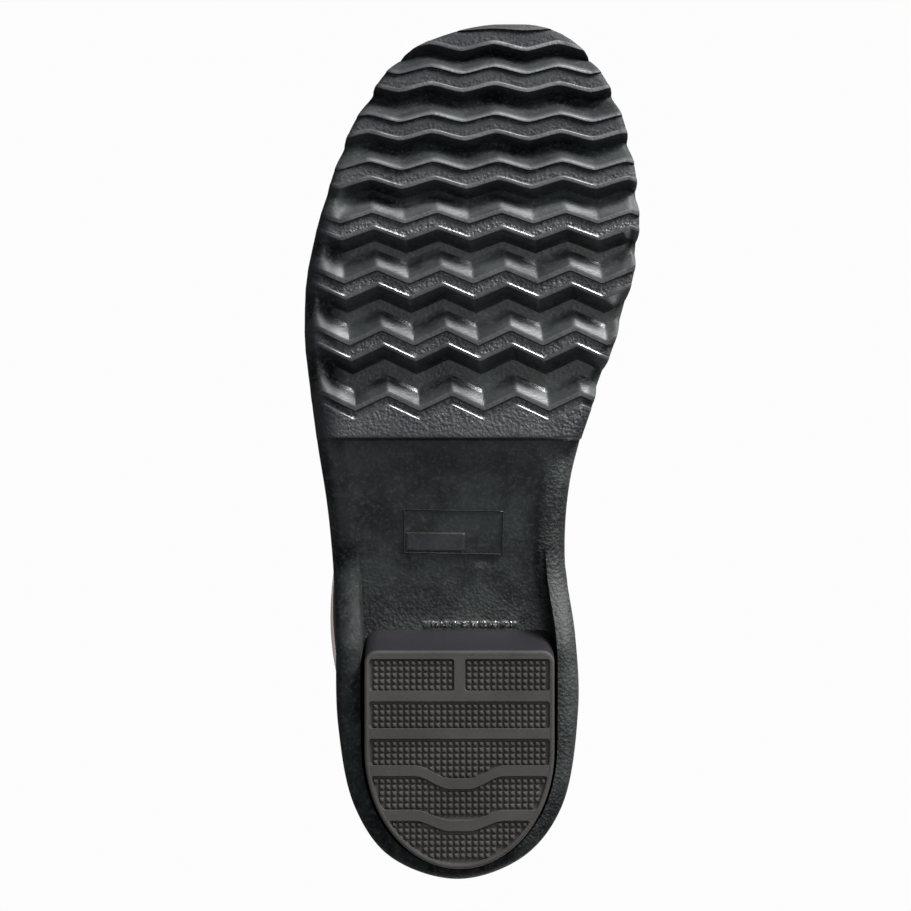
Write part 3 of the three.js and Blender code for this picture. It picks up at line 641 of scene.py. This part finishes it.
def moulded_grey_rubber():
    """Harder, filled rubber: warm brown-grey, dry and matt, with a fine even grain. The breast
    is coloured darker and purplish."""
    material, shader = new_material("rubber_moulded_grey")
    where = add_node(material, "ShaderNodeTexCoord").outputs["Object"]
    grain = add_node(material, "ShaderNodeTexNoise", {}, {
        "Vector": where, "Scale": per_metre(0.9), "Detail": 3.0, "Roughness": 0.7}).outputs["Fac"]
    cloud = add_node(material, "ShaderNodeTexNoise", {}, {
        "Vector": where, "Scale": per_metre(22), "Detail": 3.0}).outputs["Fac"]
    tone = add_node(material, "ShaderNodeMath", {"operation": "MULTIPLY_ADD"}, {0: grain, 1: 0.6, 2: cloud})
    colour = add_node(material, "ShaderNodeValToRGB", {}, {"Fac": tone.outputs[0]},
                      [(0.45, "#2d2b28"), (1.0, "#43403c")])
    # The breast is coloured darker and purplish.
    skin = add_node(material, "ShaderNodeAttribute", {"attribute_name": "breast"}).outputs["Fac"]
    toned = add_node(material, "ShaderNodeMix", {"data_type": "RGBA"}, {
        "Factor": skin, 6: colour.outputs["Color"], 7: linear("#0c0a13")})
    bump = add_node(material, "ShaderNodeBump", {}, {
        "Strength": 0.35, "Distance": 0.25 * MM, "Height": grain})
    feed(material, shader, {"Base Color": toned.outputs[2], "Roughness": 0.72, "IOR": 1.5,
                            "Normal": bump.outputs["Normal"]})
    return material


heel_skins = [heel_field_skin(), heel_border_skin(), *pyramid_skins()]
heel_points = np.concatenate([points for points, _ in heel_skins])
breast_share = ramp(0.3, 1.0, heel_points[:, 2]) * ramp(75, 72, heel_points[:, 1])
heel_block = make_piece(
    "heel_block_rubber", heel_skins, moulded_grey_rubber(), {"breast": breast_share}, crease=40)
stand_for(heel_block, "heel_block")

# ------------------------------------------------------------------ foot and leg
# Two shells of bronze-brown calendered rubber, joined under a band at the ankle and cured on a
# last. Every layer of the boot is laid on that last, one over the other.
LAST_INSET = 9.0
FEATHER_GAP = 0.8
# Rings of the last: front y, z; back y, z; half width; middle at the heel and toe; share of the
# foot's own plan; how closely the ring follows the sole.
LAST_RINGS = [
    (-143.5, 25, 143.5, 28, 50.5, -4.8, 10, 1, 1), (-143.6, 44, 143.4, 47, 50.7, -4.8, 10, 1, 1),
    (-139.5, 55, 143, 62, 50, -5, 8, 0.95, 0.6), (-125, 63.5, 142, 79, 47.5, -5.4, 5, 0.8, 0.3),
    (-99, 73, 139.5, 97, 45, -6.6, -1.6, 0.5, 0), (-70, 87, 136.5, 114, 41.6, -7.8, -4.8, 0.25, 0),
    (-43, 106, 134, 131, 39.8, -7.8, -6.4, 0.1, 0), (-21, 130, 132.5, 148, 39.2, -8, -7.4, 0, 0),
    (-7, 158, 132.5, 168, 40, -8.2, -8.2, 0, 0), (0, 190, 133.5, 195, 41.8, -8.4, -8.4, 0, 0),
    (2, 226, 136, 229, 43.4, -8.1, -8.1, 0, 0), (0, 272, 139, 272, 45.2, -8.1, -8.1, 0, 0),
    (-2, 322, 140.5, 322, 45.9, -8.1, -8.1, 0, 0), (-3, 370, 141, 370, 46.2, -8.1, -8.1, 0, 0),
]
TOP_RING = len(LAST_RINGS) - 1
LAST_GIRTH = 620.0
RING_RISE = 26.0
MOUTH = 12.85
ANKLE_SEAM = 8.0
RING_GAP = 0.03
FACET = 1 / 32
RUBBER_OUT = 4.6
LINING = 1.5
GAP = 0.3


def last_point(turns, heights):
    """Points on the last: turns has one value per row, heights a grid counted in rings."""
    base = outline_at(turns, LAST_INSET)
    reach = SOLE_LENGTH / 2 - LAST_INSET
    eta = np.clip((reach - base[:, 1]) / (2 * reach), 0, 1)
    side = base[:, 0] - (HEEL_TIP[0] + (TOE_TIP[0] - HEEL_TIP[0]) * eta)
    rings = []
    for front_y, front_z, back_y, back_z, half, heel_x, toe_x, foot, follow in LAST_RINGS:
        foot_x = side * half / LAST_RINGS[0][4]
        oval_x = np.sign(side) * half * np.sqrt(np.maximum(0, 1 - (2 * eta - 1) ** 2))
        y = back_y + (front_y - back_y) * eta
        sole_level = sole_top(back_y) + (sole_top(front_y) - sole_top(back_y)) * eta
        z = back_z + (front_z - back_z) * eta + follow * (sole_top(y) - sole_level)
        x = heel_x + (toe_x - heel_x) * eta + oval_x + (foot_x - oval_x) * foot
        rings.append(np.stack([x, y, z], -1))
    rings[0][:, 2] = sole_top(outline_at(turns)[:, 1]) + FEATHER_GAP
    lanes = (np.arange(len(turns))[:, None],)
    return on_pieces(spline_pieces(np.array(rings)), np.clip(heights, 0, TOP_RING - 1e-6), lanes)


def soft_folds(turns, heights):
    """Shallow creases that wear puts in the front and sides of the ankle."""
    front = dome(turns, 0.5, 0.13)
    sides = dome(turns, 0.3, 0.09) + dome(turns, 0.7, 0.09)
    crease = 0.9 * dome(heights, 7.1, 0.22) - 1.3 * dome(heights, 6.6, 0.28) + 0.8 * dome(heights, 6.0, 0.35)
    crease += 1.0 * dome(heights, 8.75, 0.3) - 1.2 * dome(heights, 9.2, 0.3) + 0.6 * dome(heights, 9.7, 0.35)
    slant = heights + 2.2 * (turns - 0.5)
    return front * crease + sides * (0.8 * dome(slant, 9.3, 0.3) - 0.8 * dome(slant, 8.9, 0.25))


def on_last(turns, heights, offset):
    """Points at an offset outwards from the last; turns and heights broadcast to one grid."""
    turns = np.asarray(turns, float)
    heights = np.broadcast_to(heights, (len(turns), np.shape(heights)[-1])).astype(float)
    level = np.minimum(heights, TOP_RING - 0.06)
    du = last_point(turns + 0.004, level) - last_point(turns - 0.004, level)
    dv = last_point(turns, level + 0.05) - last_point(turns, level - 0.05)
    normal = np.cross(du, dv)
    normal /= np.linalg.norm(normal, axis=-1, keepdims=True)
    normal[..., 2] *= ramp(0, 1.5, heights)
    normal /= np.linalg.norm(normal, axis=-1, keepdims=True)
    offset = np.broadcast_to(offset, heights.shape) + soft_folds(np.mod(turns, 1)[:, None], heights)
    point = last_point(turns, heights) + normal * offset[..., None]
    point[..., 2] += np.maximum(0, heights - TOP_RING) * (LAST_RINGS[-1][1] - LAST_RINGS[-2][1])
    return point


def edge_spacing(length, fine):
    """Shares from 0 to 1, close together near both ends of a strip of that length."""
    near = np.array([0, 0.06, 0.2, 0.4, 0.7, 1.0, 1.5]) * fine / length
    near = near[near < 0.3]
    count = max(2, int(length / 3.0))
    middle = np.linspace(near[-1], 1 - near[-1], count + 1)[1:-1]
    return np.concatenate([near, middle, 1 - near[::-1]])


def layer_skin(first, last, low, high, inside, outside, fine=1.0, wrap=False, relief=None):
    """Rubber or cloth laid on the last between two turns and two heights, its edges rounded
    over a width of fine millimetres. relief adds thickness by the distance from the top edge."""
    if wrap:
        turns = np.linspace(first, last, 193)[:-1]
    else:
        turns = first + (last - first) * edge_spacing((last - first) * LAST_GIRTH, fine)
    low_line = low(turns) if callable(low) else np.full(len(turns), float(low))
    high_line = high(turns) if callable(high) else np.full(len(turns), float(high))
    share = edge_spacing((high_line - low_line).max() * RING_RISE, fine)
    heights = low_line[:, None] + (high_line - low_line)[:, None] * share
    inner = on_last(turns, heights, inside)
    along = np.linalg.norm(np.diff(inner, axis=1), axis=-1)
    from_low = np.concatenate([np.zeros((len(turns), 1)), np.cumsum(along, axis=1)], axis=1)
    from_high = from_low[:, -1:] - from_low
    edge = np.minimum(from_low, from_high)
    if not wrap:
        across = np.linalg.norm(np.diff(inner, axis=0), axis=-1)
        from_first = np.concatenate([np.zeros((1, heights.shape[1])), np.cumsum(across, axis=0)])
        edge = np.minimum(edge, np.minimum(from_first, from_first[-1:] - from_first))
    rounded = np.sqrt(1 - (1 - np.clip(edge / fine, 0, 1)) ** 2)
    extra = relief(from_high) if relief else 0
    outer = on_last(turns, heights, inside + (outside - inside) * rounded + extra * rounded)
    return closed_skin(outer, inner, wrap)


def calendered_brown_rubber(name, dark, light, roughness):
    """Natural rubber rolled into sheet and cured with a coat of varnish: bronze brown, satin,
    with a faint orange peel and slow changes of tone where it was stretched over the last."""
    material, shader = new_material(name)
    where = add_node(material, "ShaderNodeTexCoord").outputs["Object"]
    cloud = add_node(material, "ShaderNodeTexNoise", {}, {
        "Vector": where, "Scale": per_metre(55), "Detail": 4.0, "Roughness": 0.55}).outputs["Fac"]
    peel = add_node(material, "ShaderNodeTexNoise", {}, {
        "Vector": where, "Scale": per_metre(3.2), "Detail": 2.0, "Roughness": 0.5}).outputs["Fac"]
    colour = add_node(material, "ShaderNodeValToRGB", {}, {"Fac": cloud},
                      [(0.34, dark), (0.68, light)])
    scuff = add_node(material, "ShaderNodeMapRange", {}, {
        "Value": cloud, "From Min": 0.3, "From Max": 0.7, "To Min": roughness - 0.05,
        "To Max": roughness + 0.09})
    bump = add_node(material, "ShaderNodeBump", {}, {
        "Strength": 0.16, "Distance": 0.6 * MM, "Height": peel})
    feed(material, shader, {"Base Color": colour.outputs["Color"], "Roughness": scuff.outputs["Result"],
                            "IOR": 1.52, "Normal": bump.outputs["Normal"]})
    return material


upper_rubber = calendered_brown_rubber("rubber_calendered_brown", "#553519", "#69421f", 0.4)
foot_upper = make_piece("foot_upper_shell", [
    layer_skin(0, 1, 0, ANKLE_SEAM, LINING + GAP, RUBBER_OUT, 1.2, wrap=True)], upper_rubber)
stand_for(foot_upper, "foot_upper")
leg_shaft = make_piece("leg_shaft_shell", [
    layer_skin(0, 1, ANKLE_SEAM + RING_GAP, MOUTH, LINING + GAP, RUBBER_OUT, 1.2, wrap=True)], upper_rubber)
stand_for(leg_shaft, "leg_shaft")

# ------------------------------------------------------------------ foxing, toe guard and lug
# Black rubber strips rolled on round the lower edge, with a bead along the top: one long
# band, a taller guard at the toe, and a lug at the back of the heel to kick the boot off.
FOXING_OUT = 8.3
FOXING_TOP = 1.0
GUARD_TOP = 1.4
GUARD_SPAN = 4 * FACET
OVERLAY = 1.2
OVERLAY_IN = RUBBER_OUT + GAP


def beaded(from_top):
    """A rounded bead near the top edge with a groove under it, and two fine lines below."""
    bead = 0.5 * dome(from_top, 2.0, 1.0) - 0.45 * dome(from_top, 4.2, 0.6)
    return bead - 0.3 * dome(from_top, 12.5, 0.5) - 0.3 * dome(from_top, 14.5, 0.5)


def calendered_black_rubber():
    """Black strip rubber, dull satin, embossed by its roller with a fine pebble."""
    material, shader = new_material("rubber_embossed_black")
    where = add_node(material, "ShaderNodeTexCoord").outputs["Object"]
    blotch = add_node(material, "ShaderNodeTexNoise", {}, {
        "Vector": where, "Scale": per_metre(20), "Detail": 4.0}).outputs["Fac"]
    colour = add_node(material, "ShaderNodeValToRGB", {}, {"Fac": blotch},
                      [(0.35, "#1b1c1e"), (0.7, "#2a2c2e")])
    pebble = add_node(material, "ShaderNodeTexVoronoi", {"feature": "SMOOTH_F1"}, {
        "Vector": where, "Scale": per_metre(1.3), "Smoothness": 0.6}).outputs["Distance"]
    bump = add_node(material, "ShaderNodeBump", {}, {
        "Strength": 0.4, "Distance": 0.5 * MM, "Height": pebble})
    feed(material, shader, {"Base Color": colour.outputs["Color"], "Roughness": 0.46, "IOR": 1.52,
                            "Normal": bump.outputs["Normal"]})
    return material


foxing_rubber = calendered_black_rubber()
foxing_gap = 0.02 * FACET
foxing_band = make_piece("foxing_band_strip", [layer_skin(
    0.5 + GUARD_SPAN + foxing_gap, 1.5 - GUARD_SPAN - foxing_gap, 0, FOXING_TOP,
    OVERLAY_IN, FOXING_OUT, 1.6, relief=beaded)], foxing_rubber)
stand_for(foxing_band, "foxing_band")
toe_guard = make_piece("toe_guard_strip", [layer_skin(
    0.5 - GUARD_SPAN, 0.5 + GUARD_SPAN, 0, GUARD_TOP, OVERLAY_IN, FOXING_OUT, 1.6,
    relief=beaded)], foxing_rubber)
stand_for(toe_guard, "toe_guard")
lug_in = OVERLAY_IN + OVERLAY + GAP
heel_kick_lug = make_piece("heel_kick_lug_block", [layer_skin(
    -FACET, FACET, GUARD_TOP, 1.8, lug_in, lug_in + 2.7, 2.4,
    relief=lambda from_top: -0.5 * dome(from_top, 3.2, 0.5))], foxing_rubber)
stand_for(heel_kick_lug, "heel_kick_lug")

# ------------------------------------------------------------------ overlays
# Second plies of brown rubber with thinned edges, rolled on where the boot wears: over the
# toes, round the heel, over the joint at the ankle and up the back of the leg.
CAP_SPAN = 5 * FACET
BAND_LOW = 7.7
BAND_TOP = 8.3
overlay_rubber = calendered_brown_rubber("rubber_overlay_brown", "#3f2613", "#57361b", 0.44)
# First and last turn, lower and upper edge, width of the thinned edge, and whether it closes.
overlays = {
    "toe_cap": (0.5 - CAP_SPAN, 0.5 + CAP_SPAN, GUARD_TOP + RING_GAP,
                lambda u: 3 - 1.0 * np.abs((u - 0.5) / CAP_SPAN) ** 2.2, 2.2, False),
    "heel_overlay": (-CAP_SPAN, CAP_SPAN, FOXING_TOP + RING_GAP,
                     lambda u: 4 - 1.5 * np.abs(u / CAP_SPAN) ** 2.4, 2.2, False),
    "ankle_seam_band": (0, 1, BAND_LOW, BAND_TOP, 1.6, True),
    "back_stay": (-FACET, FACET, BAND_TOP + RING_GAP, MOUTH, 1.8, False),
}
for node, (first, last, low, high, fine, wrap) in overlays.items():
    skin = layer_skin(first, last, low, high, OVERLAY_IN, OVERLAY_IN + OVERLAY, fine, wrap)
    overlay = make_piece(node + "_ply", [skin], overlay_rubber)
    stand_for(overlay, node)

# ------------------------------------------------------------------ top binding
# Extruded black rubber strip, folded over the raw edge of leg and lining at the mouth.
BINDING_LOW = 12.86
BINDING_HIGH = 13.06
BINDING_IN = -0.4
BINDING_OUT = RUBBER_OUT + 1.4


def binding_skin():
    """Rolled strip: a flattened oval section swept round the mouth."""
    turns = np.linspace(0, 1, 193)[:-1]
    angle = np.linspace(-np.pi / 2, np.pi / 2, 17)
    swell = np.sign(np.cos(angle)) * np.abs(np.cos(angle)) ** 0.6
    lift = np.sign(np.sin(angle)) * np.abs(np.sin(angle)) ** 0.6
    middle, half = (BINDING_IN + BINDING_OUT) / 2, (BINDING_OUT - BINDING_IN) / 2
    heights = (BINDING_LOW + BINDING_HIGH) / 2 + (BINDING_HIGH - BINDING_LOW) / 2 * lift
    outer = on_last(turns, heights, middle + half * swell)
    inner = on_last(turns, heights, middle - half * swell)
    return closed_skin(outer, inner, wrap=True)


def extruded_black_rubber():
    """Smooth black extrusion with fine lengthwise drag lines and a soft sheen."""
    material, shader = new_material("rubber_extruded_black")
    where = add_node(material, "ShaderNodeTexCoord").outputs["Object"]
    stretched = add_node(material, "ShaderNodeMapping", {}, {"Vector": where, "Scale": (0.08, 0.08, 1.0)})
    drag = add_node(material, "ShaderNodeTexNoise", {}, {
        "Vector": stretched.outputs["Vector"], "Scale": per_metre(1.1), "Detail": 2.0}).outputs["Fac"]
    colour = add_node(material, "ShaderNodeValToRGB", {}, {"Fac": drag},
                      [(0.35, "#191a1b"), (0.7, "#262728")])
    bump = add_node(material, "ShaderNodeBump", {}, {"Strength": 0.2, "Distance": 0.3 * MM, "Height": drag})
    feed(material, shader, {"Base Color": colour.outputs["Color"], "Roughness": 0.38, "IOR": 1.52,
                            "Normal": bump.outputs["Normal"]})
    return material


top_binding = make_piece("top_binding_roll", [binding_skin()], extruded_black_rubber())
stand_for(top_binding, "top_binding")

# ------------------------------------------------------------------ linings
# Tubular knit of oatmeal cotton and polyester, bonded to the inside of the rubber. The leg's
# tube meets the foot's at the ankle.
KNIT_COURSE = 2.4


def knitted_cloth():
    """Knit cloth: rows of loops, dull and soft; the loops are drawn twice as coarse as they
    are, so that they show."""
    material, shader = new_material("cotton_knit_oatmeal")
    where = add_node(material, "ShaderNodeTexCoord").outputs["Object"]
    courses = add_node(material, "ShaderNodeTexWave", {"bands_direction": "Z"}, {
        "Vector": where, "Scale": per_metre(KNIT_COURSE) * math.pi / 10, "Distortion": 0.6,
        "Detail": 1.0, "Detail Scale": 2.0}).outputs["Fac"]
    loops = add_node(material, "ShaderNodeTexVoronoi", {"feature": "F1"}, {
        "Vector": where, "Scale": per_metre(1.8)}).outputs["Distance"]
    height = add_node(material, "ShaderNodeMath", {"operation": "MULTIPLY_ADD"}, {
        0: loops, 1: -0.8, 2: courses}).outputs[0]
    # The colour follows the height of the knit: painted shade between the loops and the courses.
    colour = add_node(material, "ShaderNodeValToRGB", {}, {"Fac": height},
                      [(0.0, "#8a7e69"), (0.8, "#c4b9a3")])
    bump = add_node(material, "ShaderNodeBump", {}, {"Strength": 0.7, "Distance": 0.6 * MM, "Height": height})
    feed(material, shader, {"Base Color": colour.outputs["Color"], "Roughness": 0.95, "Sheen Weight": 0.3,
                            "Sheen Roughness": 0.5, "Normal": bump.outputs["Normal"]})
    return material


knit_lining = knitted_cloth()
for node, low, high in (("lining_foot", 0, ANKLE_SEAM), ("lining_leg", ANKLE_SEAM + RING_GAP, MOUTH)):
    lining = make_piece(node + "_knit", [layer_skin(0, 1, low, high, 0, LINING, 0.8, wrap=True)], knit_lining)
    stand_for(lining, node)

# ------------------------------------------------------------------ footbed
# Loose insole cut from pressed grey-brown felt. It rests on the insole board and follows the
# curve of the sole.
FOOTBED_LOW = 5.5
FOOTBED_HIGH = 9.5
FOOTBED_INSET = 11.5
# Ends of the middle line that its rings shrink to.
FOOTBED_FRONT = -105.0
FOOTBED_BACK = 110.0


def footbed_skin():
    """Felt slab that follows the sole, with softened edges and a shallow hollow for the heel."""
    ring = outline_at(np.linspace(0, 1, 161)[:-1], FOOTBED_INSET)
    centre_y = np.clip(ring[:, 1], FOOTBED_FRONT, FOOTBED_BACK)
    centre_x = np.interp(centre_y, [FOOTBED_FRONT, 0, FOOTBED_BACK], [4, -4, -5])
    centre = np.stack([centre_x, centre_y], -1)
    share = np.array([1, 0.997, 0.985, 0.96, 0.9, 0.8, 0.65, 0.45, 0.25, 0.08])
    spread = centre[:, None] + (ring - centre)[:, None] * share[None, :, None]
    edge = (1 - share) * 40
    crown = 1 - np.sqrt(1 - (1 - np.clip(edge / 1.6, 0, 1)) ** 2)
    hollow = 0.9 * dome(spread[..., 0], -5, 22) * dome(spread[..., 1], 108, 30)
    level = sole_top(spread[..., 1])
    top = level + FOOTBED_HIGH - 1.5 * crown - hollow
    bottom = level + FOOTBED_LOW + 0.6 * crown
    outer = np.concatenate([spread, top[..., None]], -1)
    inner = np.concatenate([spread, bottom[..., None]], -1)
    return closed_skin(outer, inner, wrap=True)


def pressed_felt():
    """Needled felt: matted short fibres, no shine, with a flecked tone."""
    material, shader = new_material("felt_pressed_grey")
    where = add_node(material, "ShaderNodeTexCoord").outputs["Object"]
    fleck = add_node(material, "ShaderNodeTexNoise", {}, {
        "Vector": where, "Scale": per_metre(2.0), "Detail": 6.0, "Roughness": 0.75}).outputs["Fac"]
    colour = add_node(material, "ShaderNodeValToRGB", {}, {"Fac": fleck},
                      [(0.35, "#6f6a60"), (0.65, "#9a9488")])
    bump = add_node(material, "ShaderNodeBump", {}, {"Strength": 0.6, "Distance": 0.5 * MM, "Height": fleck})
    feed(material, shader, {"Base Color": colour.outputs["Color"], "Roughness": 1.0,
                            "Normal": bump.outputs["Normal"]})
    return material


footbed = make_piece("footbed_felt_sole", [footbed_skin()], pressed_felt(), crease=50)
stand_for(footbed, "footbed")

# ------------------------------------------------------------------ hidden build-up
# Inside the boot: fibre stiffeners at toe and heel, a sponge filler with the steel shank and its
# two rivets, the insole board, and the filler of the hollow heel. They keep their CAD shapes.
def fleck_material(name, dark, light, size, roughness, relief, metal=0.0):
    """Flecked two-tone surface for a board, sponge, filler or rolled strip."""
    material, shader = new_material(name)
    where = add_node(material, "ShaderNodeTexCoord").outputs["Object"]
    fleck = add_node(material, "ShaderNodeTexNoise", {}, {
        "Vector": where, "Scale": per_metre(size), "Detail": 4.0, "Roughness": 0.65}).outputs["Fac"]
    colour = add_node(material, "ShaderNodeValToRGB", {}, {"Fac": fleck},
                      [(0.35, dark), (0.65, light)])
    bump = add_node(material, "ShaderNodeBump", {}, {
        "Strength": relief, "Distance": 0.4 * MM, "Height": fleck})
    feed(material, shader, {"Base Color": colour.outputs["Color"], "Roughness": roughness,
                            "Metallic": metal, "Normal": bump.outputs["Normal"]})
    return material


stiffener_fibre = fleck_material("fibreboard_impregnated", "#8d7856", "#b09a74", 2.5, 0.9, 0.4)
shank_steel = fleck_material("steel_cold_rolled", "#86898c", "#a7aaad", 6.0, 0.32, 0.05, metal=1.0)
hidden = {
    "toe_puff": stiffener_fibre,
    "heel_counter": stiffener_fibre,
    "insole_board": fleck_material("fibreboard_pressed", "#85693f", "#a98c62", 1.8, 0.92, 0.4),
    "midsole_filler": fleck_material("rubber_sponge_black", "#2a2a2c", "#47474a", 1.2, 0.95, 0.8),
    "steel_shank": shank_steel,
    "shank_rivet_front": shank_steel,
    "shank_rivet_rear": shank_steel,
    "heel_core": fleck_material("rubber_crumb_filler", "#514c47", "#756f68", 2.0, 0.95, 0.7),
}
for node, material in hidden.items():
    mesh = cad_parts[node].data
    mesh.materials.clear()
    mesh.materials.append(material)

# ------------------------------------------------------------------ studio
# White paper floor, soft lamps above and a low pair beyond the toe, whose light rakes across the
# tread from the inner side. The floor shows only from above, and it glows with distance, so that
# it runs into the white behind it. A lamp may light only some of the pieces.
PAPER_WHITE = (0.98, 0.98, 0.98, 1)
SKY_BLUE = (0.93, 0.95, 1.0, 1)
FLOOR_HALF = 3.0
GLOW_START = 0.35
GLOW_FULL = 2.2
VIEW_DISTANCE = 1.5
VIEW_WIDTH = 0.322
VIEW_CENTRE = (-0.0057, 0.0018)
SENSOR = 36.0
world = bpy.data.worlds.new("studio")
bpy.context.scene.world = world
world.use_nodes = True
backdrop = world.node_tree.nodes["Background"]
feed(world, backdrop, {"Color": PAPER_WHITE})
ambient = add_node(world, "ShaderNodeBackground", {}, {"Color": SKY_BLUE, "Strength": 0.3})
seen = add_node(world, "ShaderNodeLightPath").outputs["Is Camera Ray"]
either = add_node(world, "ShaderNodeMixShader", {}, {
    "Fac": seen, 1: ambient.outputs["Background"], 2: backdrop.outputs["Background"]})
feed(world, world.node_tree.nodes["World Output"], {"Surface": either.outputs["Shader"]})

floor_mesh = bpy.data.meshes.new("floor")
floor_corners = [(-1, -1), (1, -1), (1, 1), (-1, 1)]
floor_mesh.from_pydata([(x * FLOOR_HALF, y * FLOOR_HALF, 0) for x, y in floor_corners], [], [(0, 1, 2, 3)])
floor = bpy.data.objects.new("floor", floor_mesh)
bpy.context.scene.collection.objects.link(floor)
floor.visible_diffuse = False
floor.visible_glossy = False
floor.visible_shadow = False
paper, paper_shader = new_material("paper_matt_white")
floor_surface = add_node(paper, "ShaderNodeNewGeometry")
from_middle = add_node(paper, "ShaderNodeVectorMath", {"operation": "LENGTH"}, {
    0: floor_surface.outputs["Position"]})
far_glow = add_node(paper, "ShaderNodeMapRange", {"interpolation_type": "SMOOTHSTEP"}, {
    "Value": from_middle.outputs["Value"], "From Min": GLOW_START, "From Max": GLOW_FULL,
    "To Min": 0.0, "To Max": 0.9})
feed(paper, paper_shader, {"Base Color": linear("#ececec"), "Roughness": 0.9,
                           "Emission Color": PAPER_WHITE, "Emission Strength": far_glow.outputs["Result"]})
clear = add_node(paper, "ShaderNodeBsdfTransparent").outputs["BSDF"]
one_sided = add_node(paper, "ShaderNodeMixShader", {}, {
    "Fac": floor_surface.outputs["Backfacing"], 1: paper_shader.outputs["BSDF"], 2: clear})
feed(paper, paper.node_tree.nodes["Material Output"], {"Surface": one_sided.outputs["Shader"]})
floor_mesh.materials.append(paper)


def soft_box(name, place, target, size, power, lit=None):
    """Square lamp out of the camera's sight; lit is the group of pieces that it lights, if not all."""
    lamp = bpy.data.lights.new(name, "AREA")
    lamp.shape = "SQUARE"
    lamp.size = size
    lamp.energy = power
    box = bpy.data.objects.new(name, lamp)
    bpy.context.scene.collection.objects.link(box)
    reach = np.array(target) - np.array(place)
    box.location = place
    box.rotation_euler = (math.atan2(math.hypot(reach[0], reach[1]), -reach[2]), 0,
                          math.atan2(reach[1], reach[0]) - math.pi / 2)
    box.visible_camera = False
    if lit:
        box.light_linking.receiver_collection = lit
    return box


def lit_group(name, pieces):
    group = bpy.data.collections.new(name)
    for piece in pieces:
        group.objects.link(piece)
    return group


meshes = [piece for piece in bpy.context.scene.collection.objects if piece.type == "MESH"]
only_outsole = lit_group("only_outsole", [outsole])
sole_and_heel = lit_group("sole_and_heel", [outsole, heel_block])
all_but_sole = lit_group("all_but_sole", [piece for piece in meshes if piece not in (outsole, heel_block)])
SOLE_MIDDLE = (0, 0, 0)
LEG_MIDDLE = (0, 0, 0.15)
soft_box("key_raking", (0.84, -1.12, -0.58), SOLE_MIDDLE, 0.6, 46, sole_and_heel)
glint = soft_box("glint_raking", (0.8, -1.24, -0.36), SOLE_MIDDLE, 0.42, 290, only_outsole)
glint.visible_diffuse = False
soft_box("fill_under", (0.5, -0.3, -1.5), SOLE_MIDDLE, 0.9, 4.5, sole_and_heel)
soft_box("key_above", (1.0, -1.3, 1.7), LEG_MIDDLE, 1.0, 40)
soft_box("fill_above", (-1.6, 0.3, 1.3), LEG_MIDDLE, 1.3, 24, all_but_sole)
soft_box("rear_above", (0.4, 1.7, 1.2), LEG_MIDDLE, 1.2, 22)

lens = bpy.data.cameras.new("camera")
camera = bpy.data.objects.new("camera", lens)
bpy.context.scene.collection.objects.link(camera)
bpy.context.scene.camera = camera
lens.sensor_width = SENSOR
lens.lens = SENSOR * VIEW_DISTANCE / VIEW_WIDTH
lens.clip_end = 20
camera.location = (*VIEW_CENTRE, -VIEW_DISTANCE)
camera.rotation_euler = (math.pi, 0, 0)
bpy.context.scene.view_settings.view_transform = "Standard"
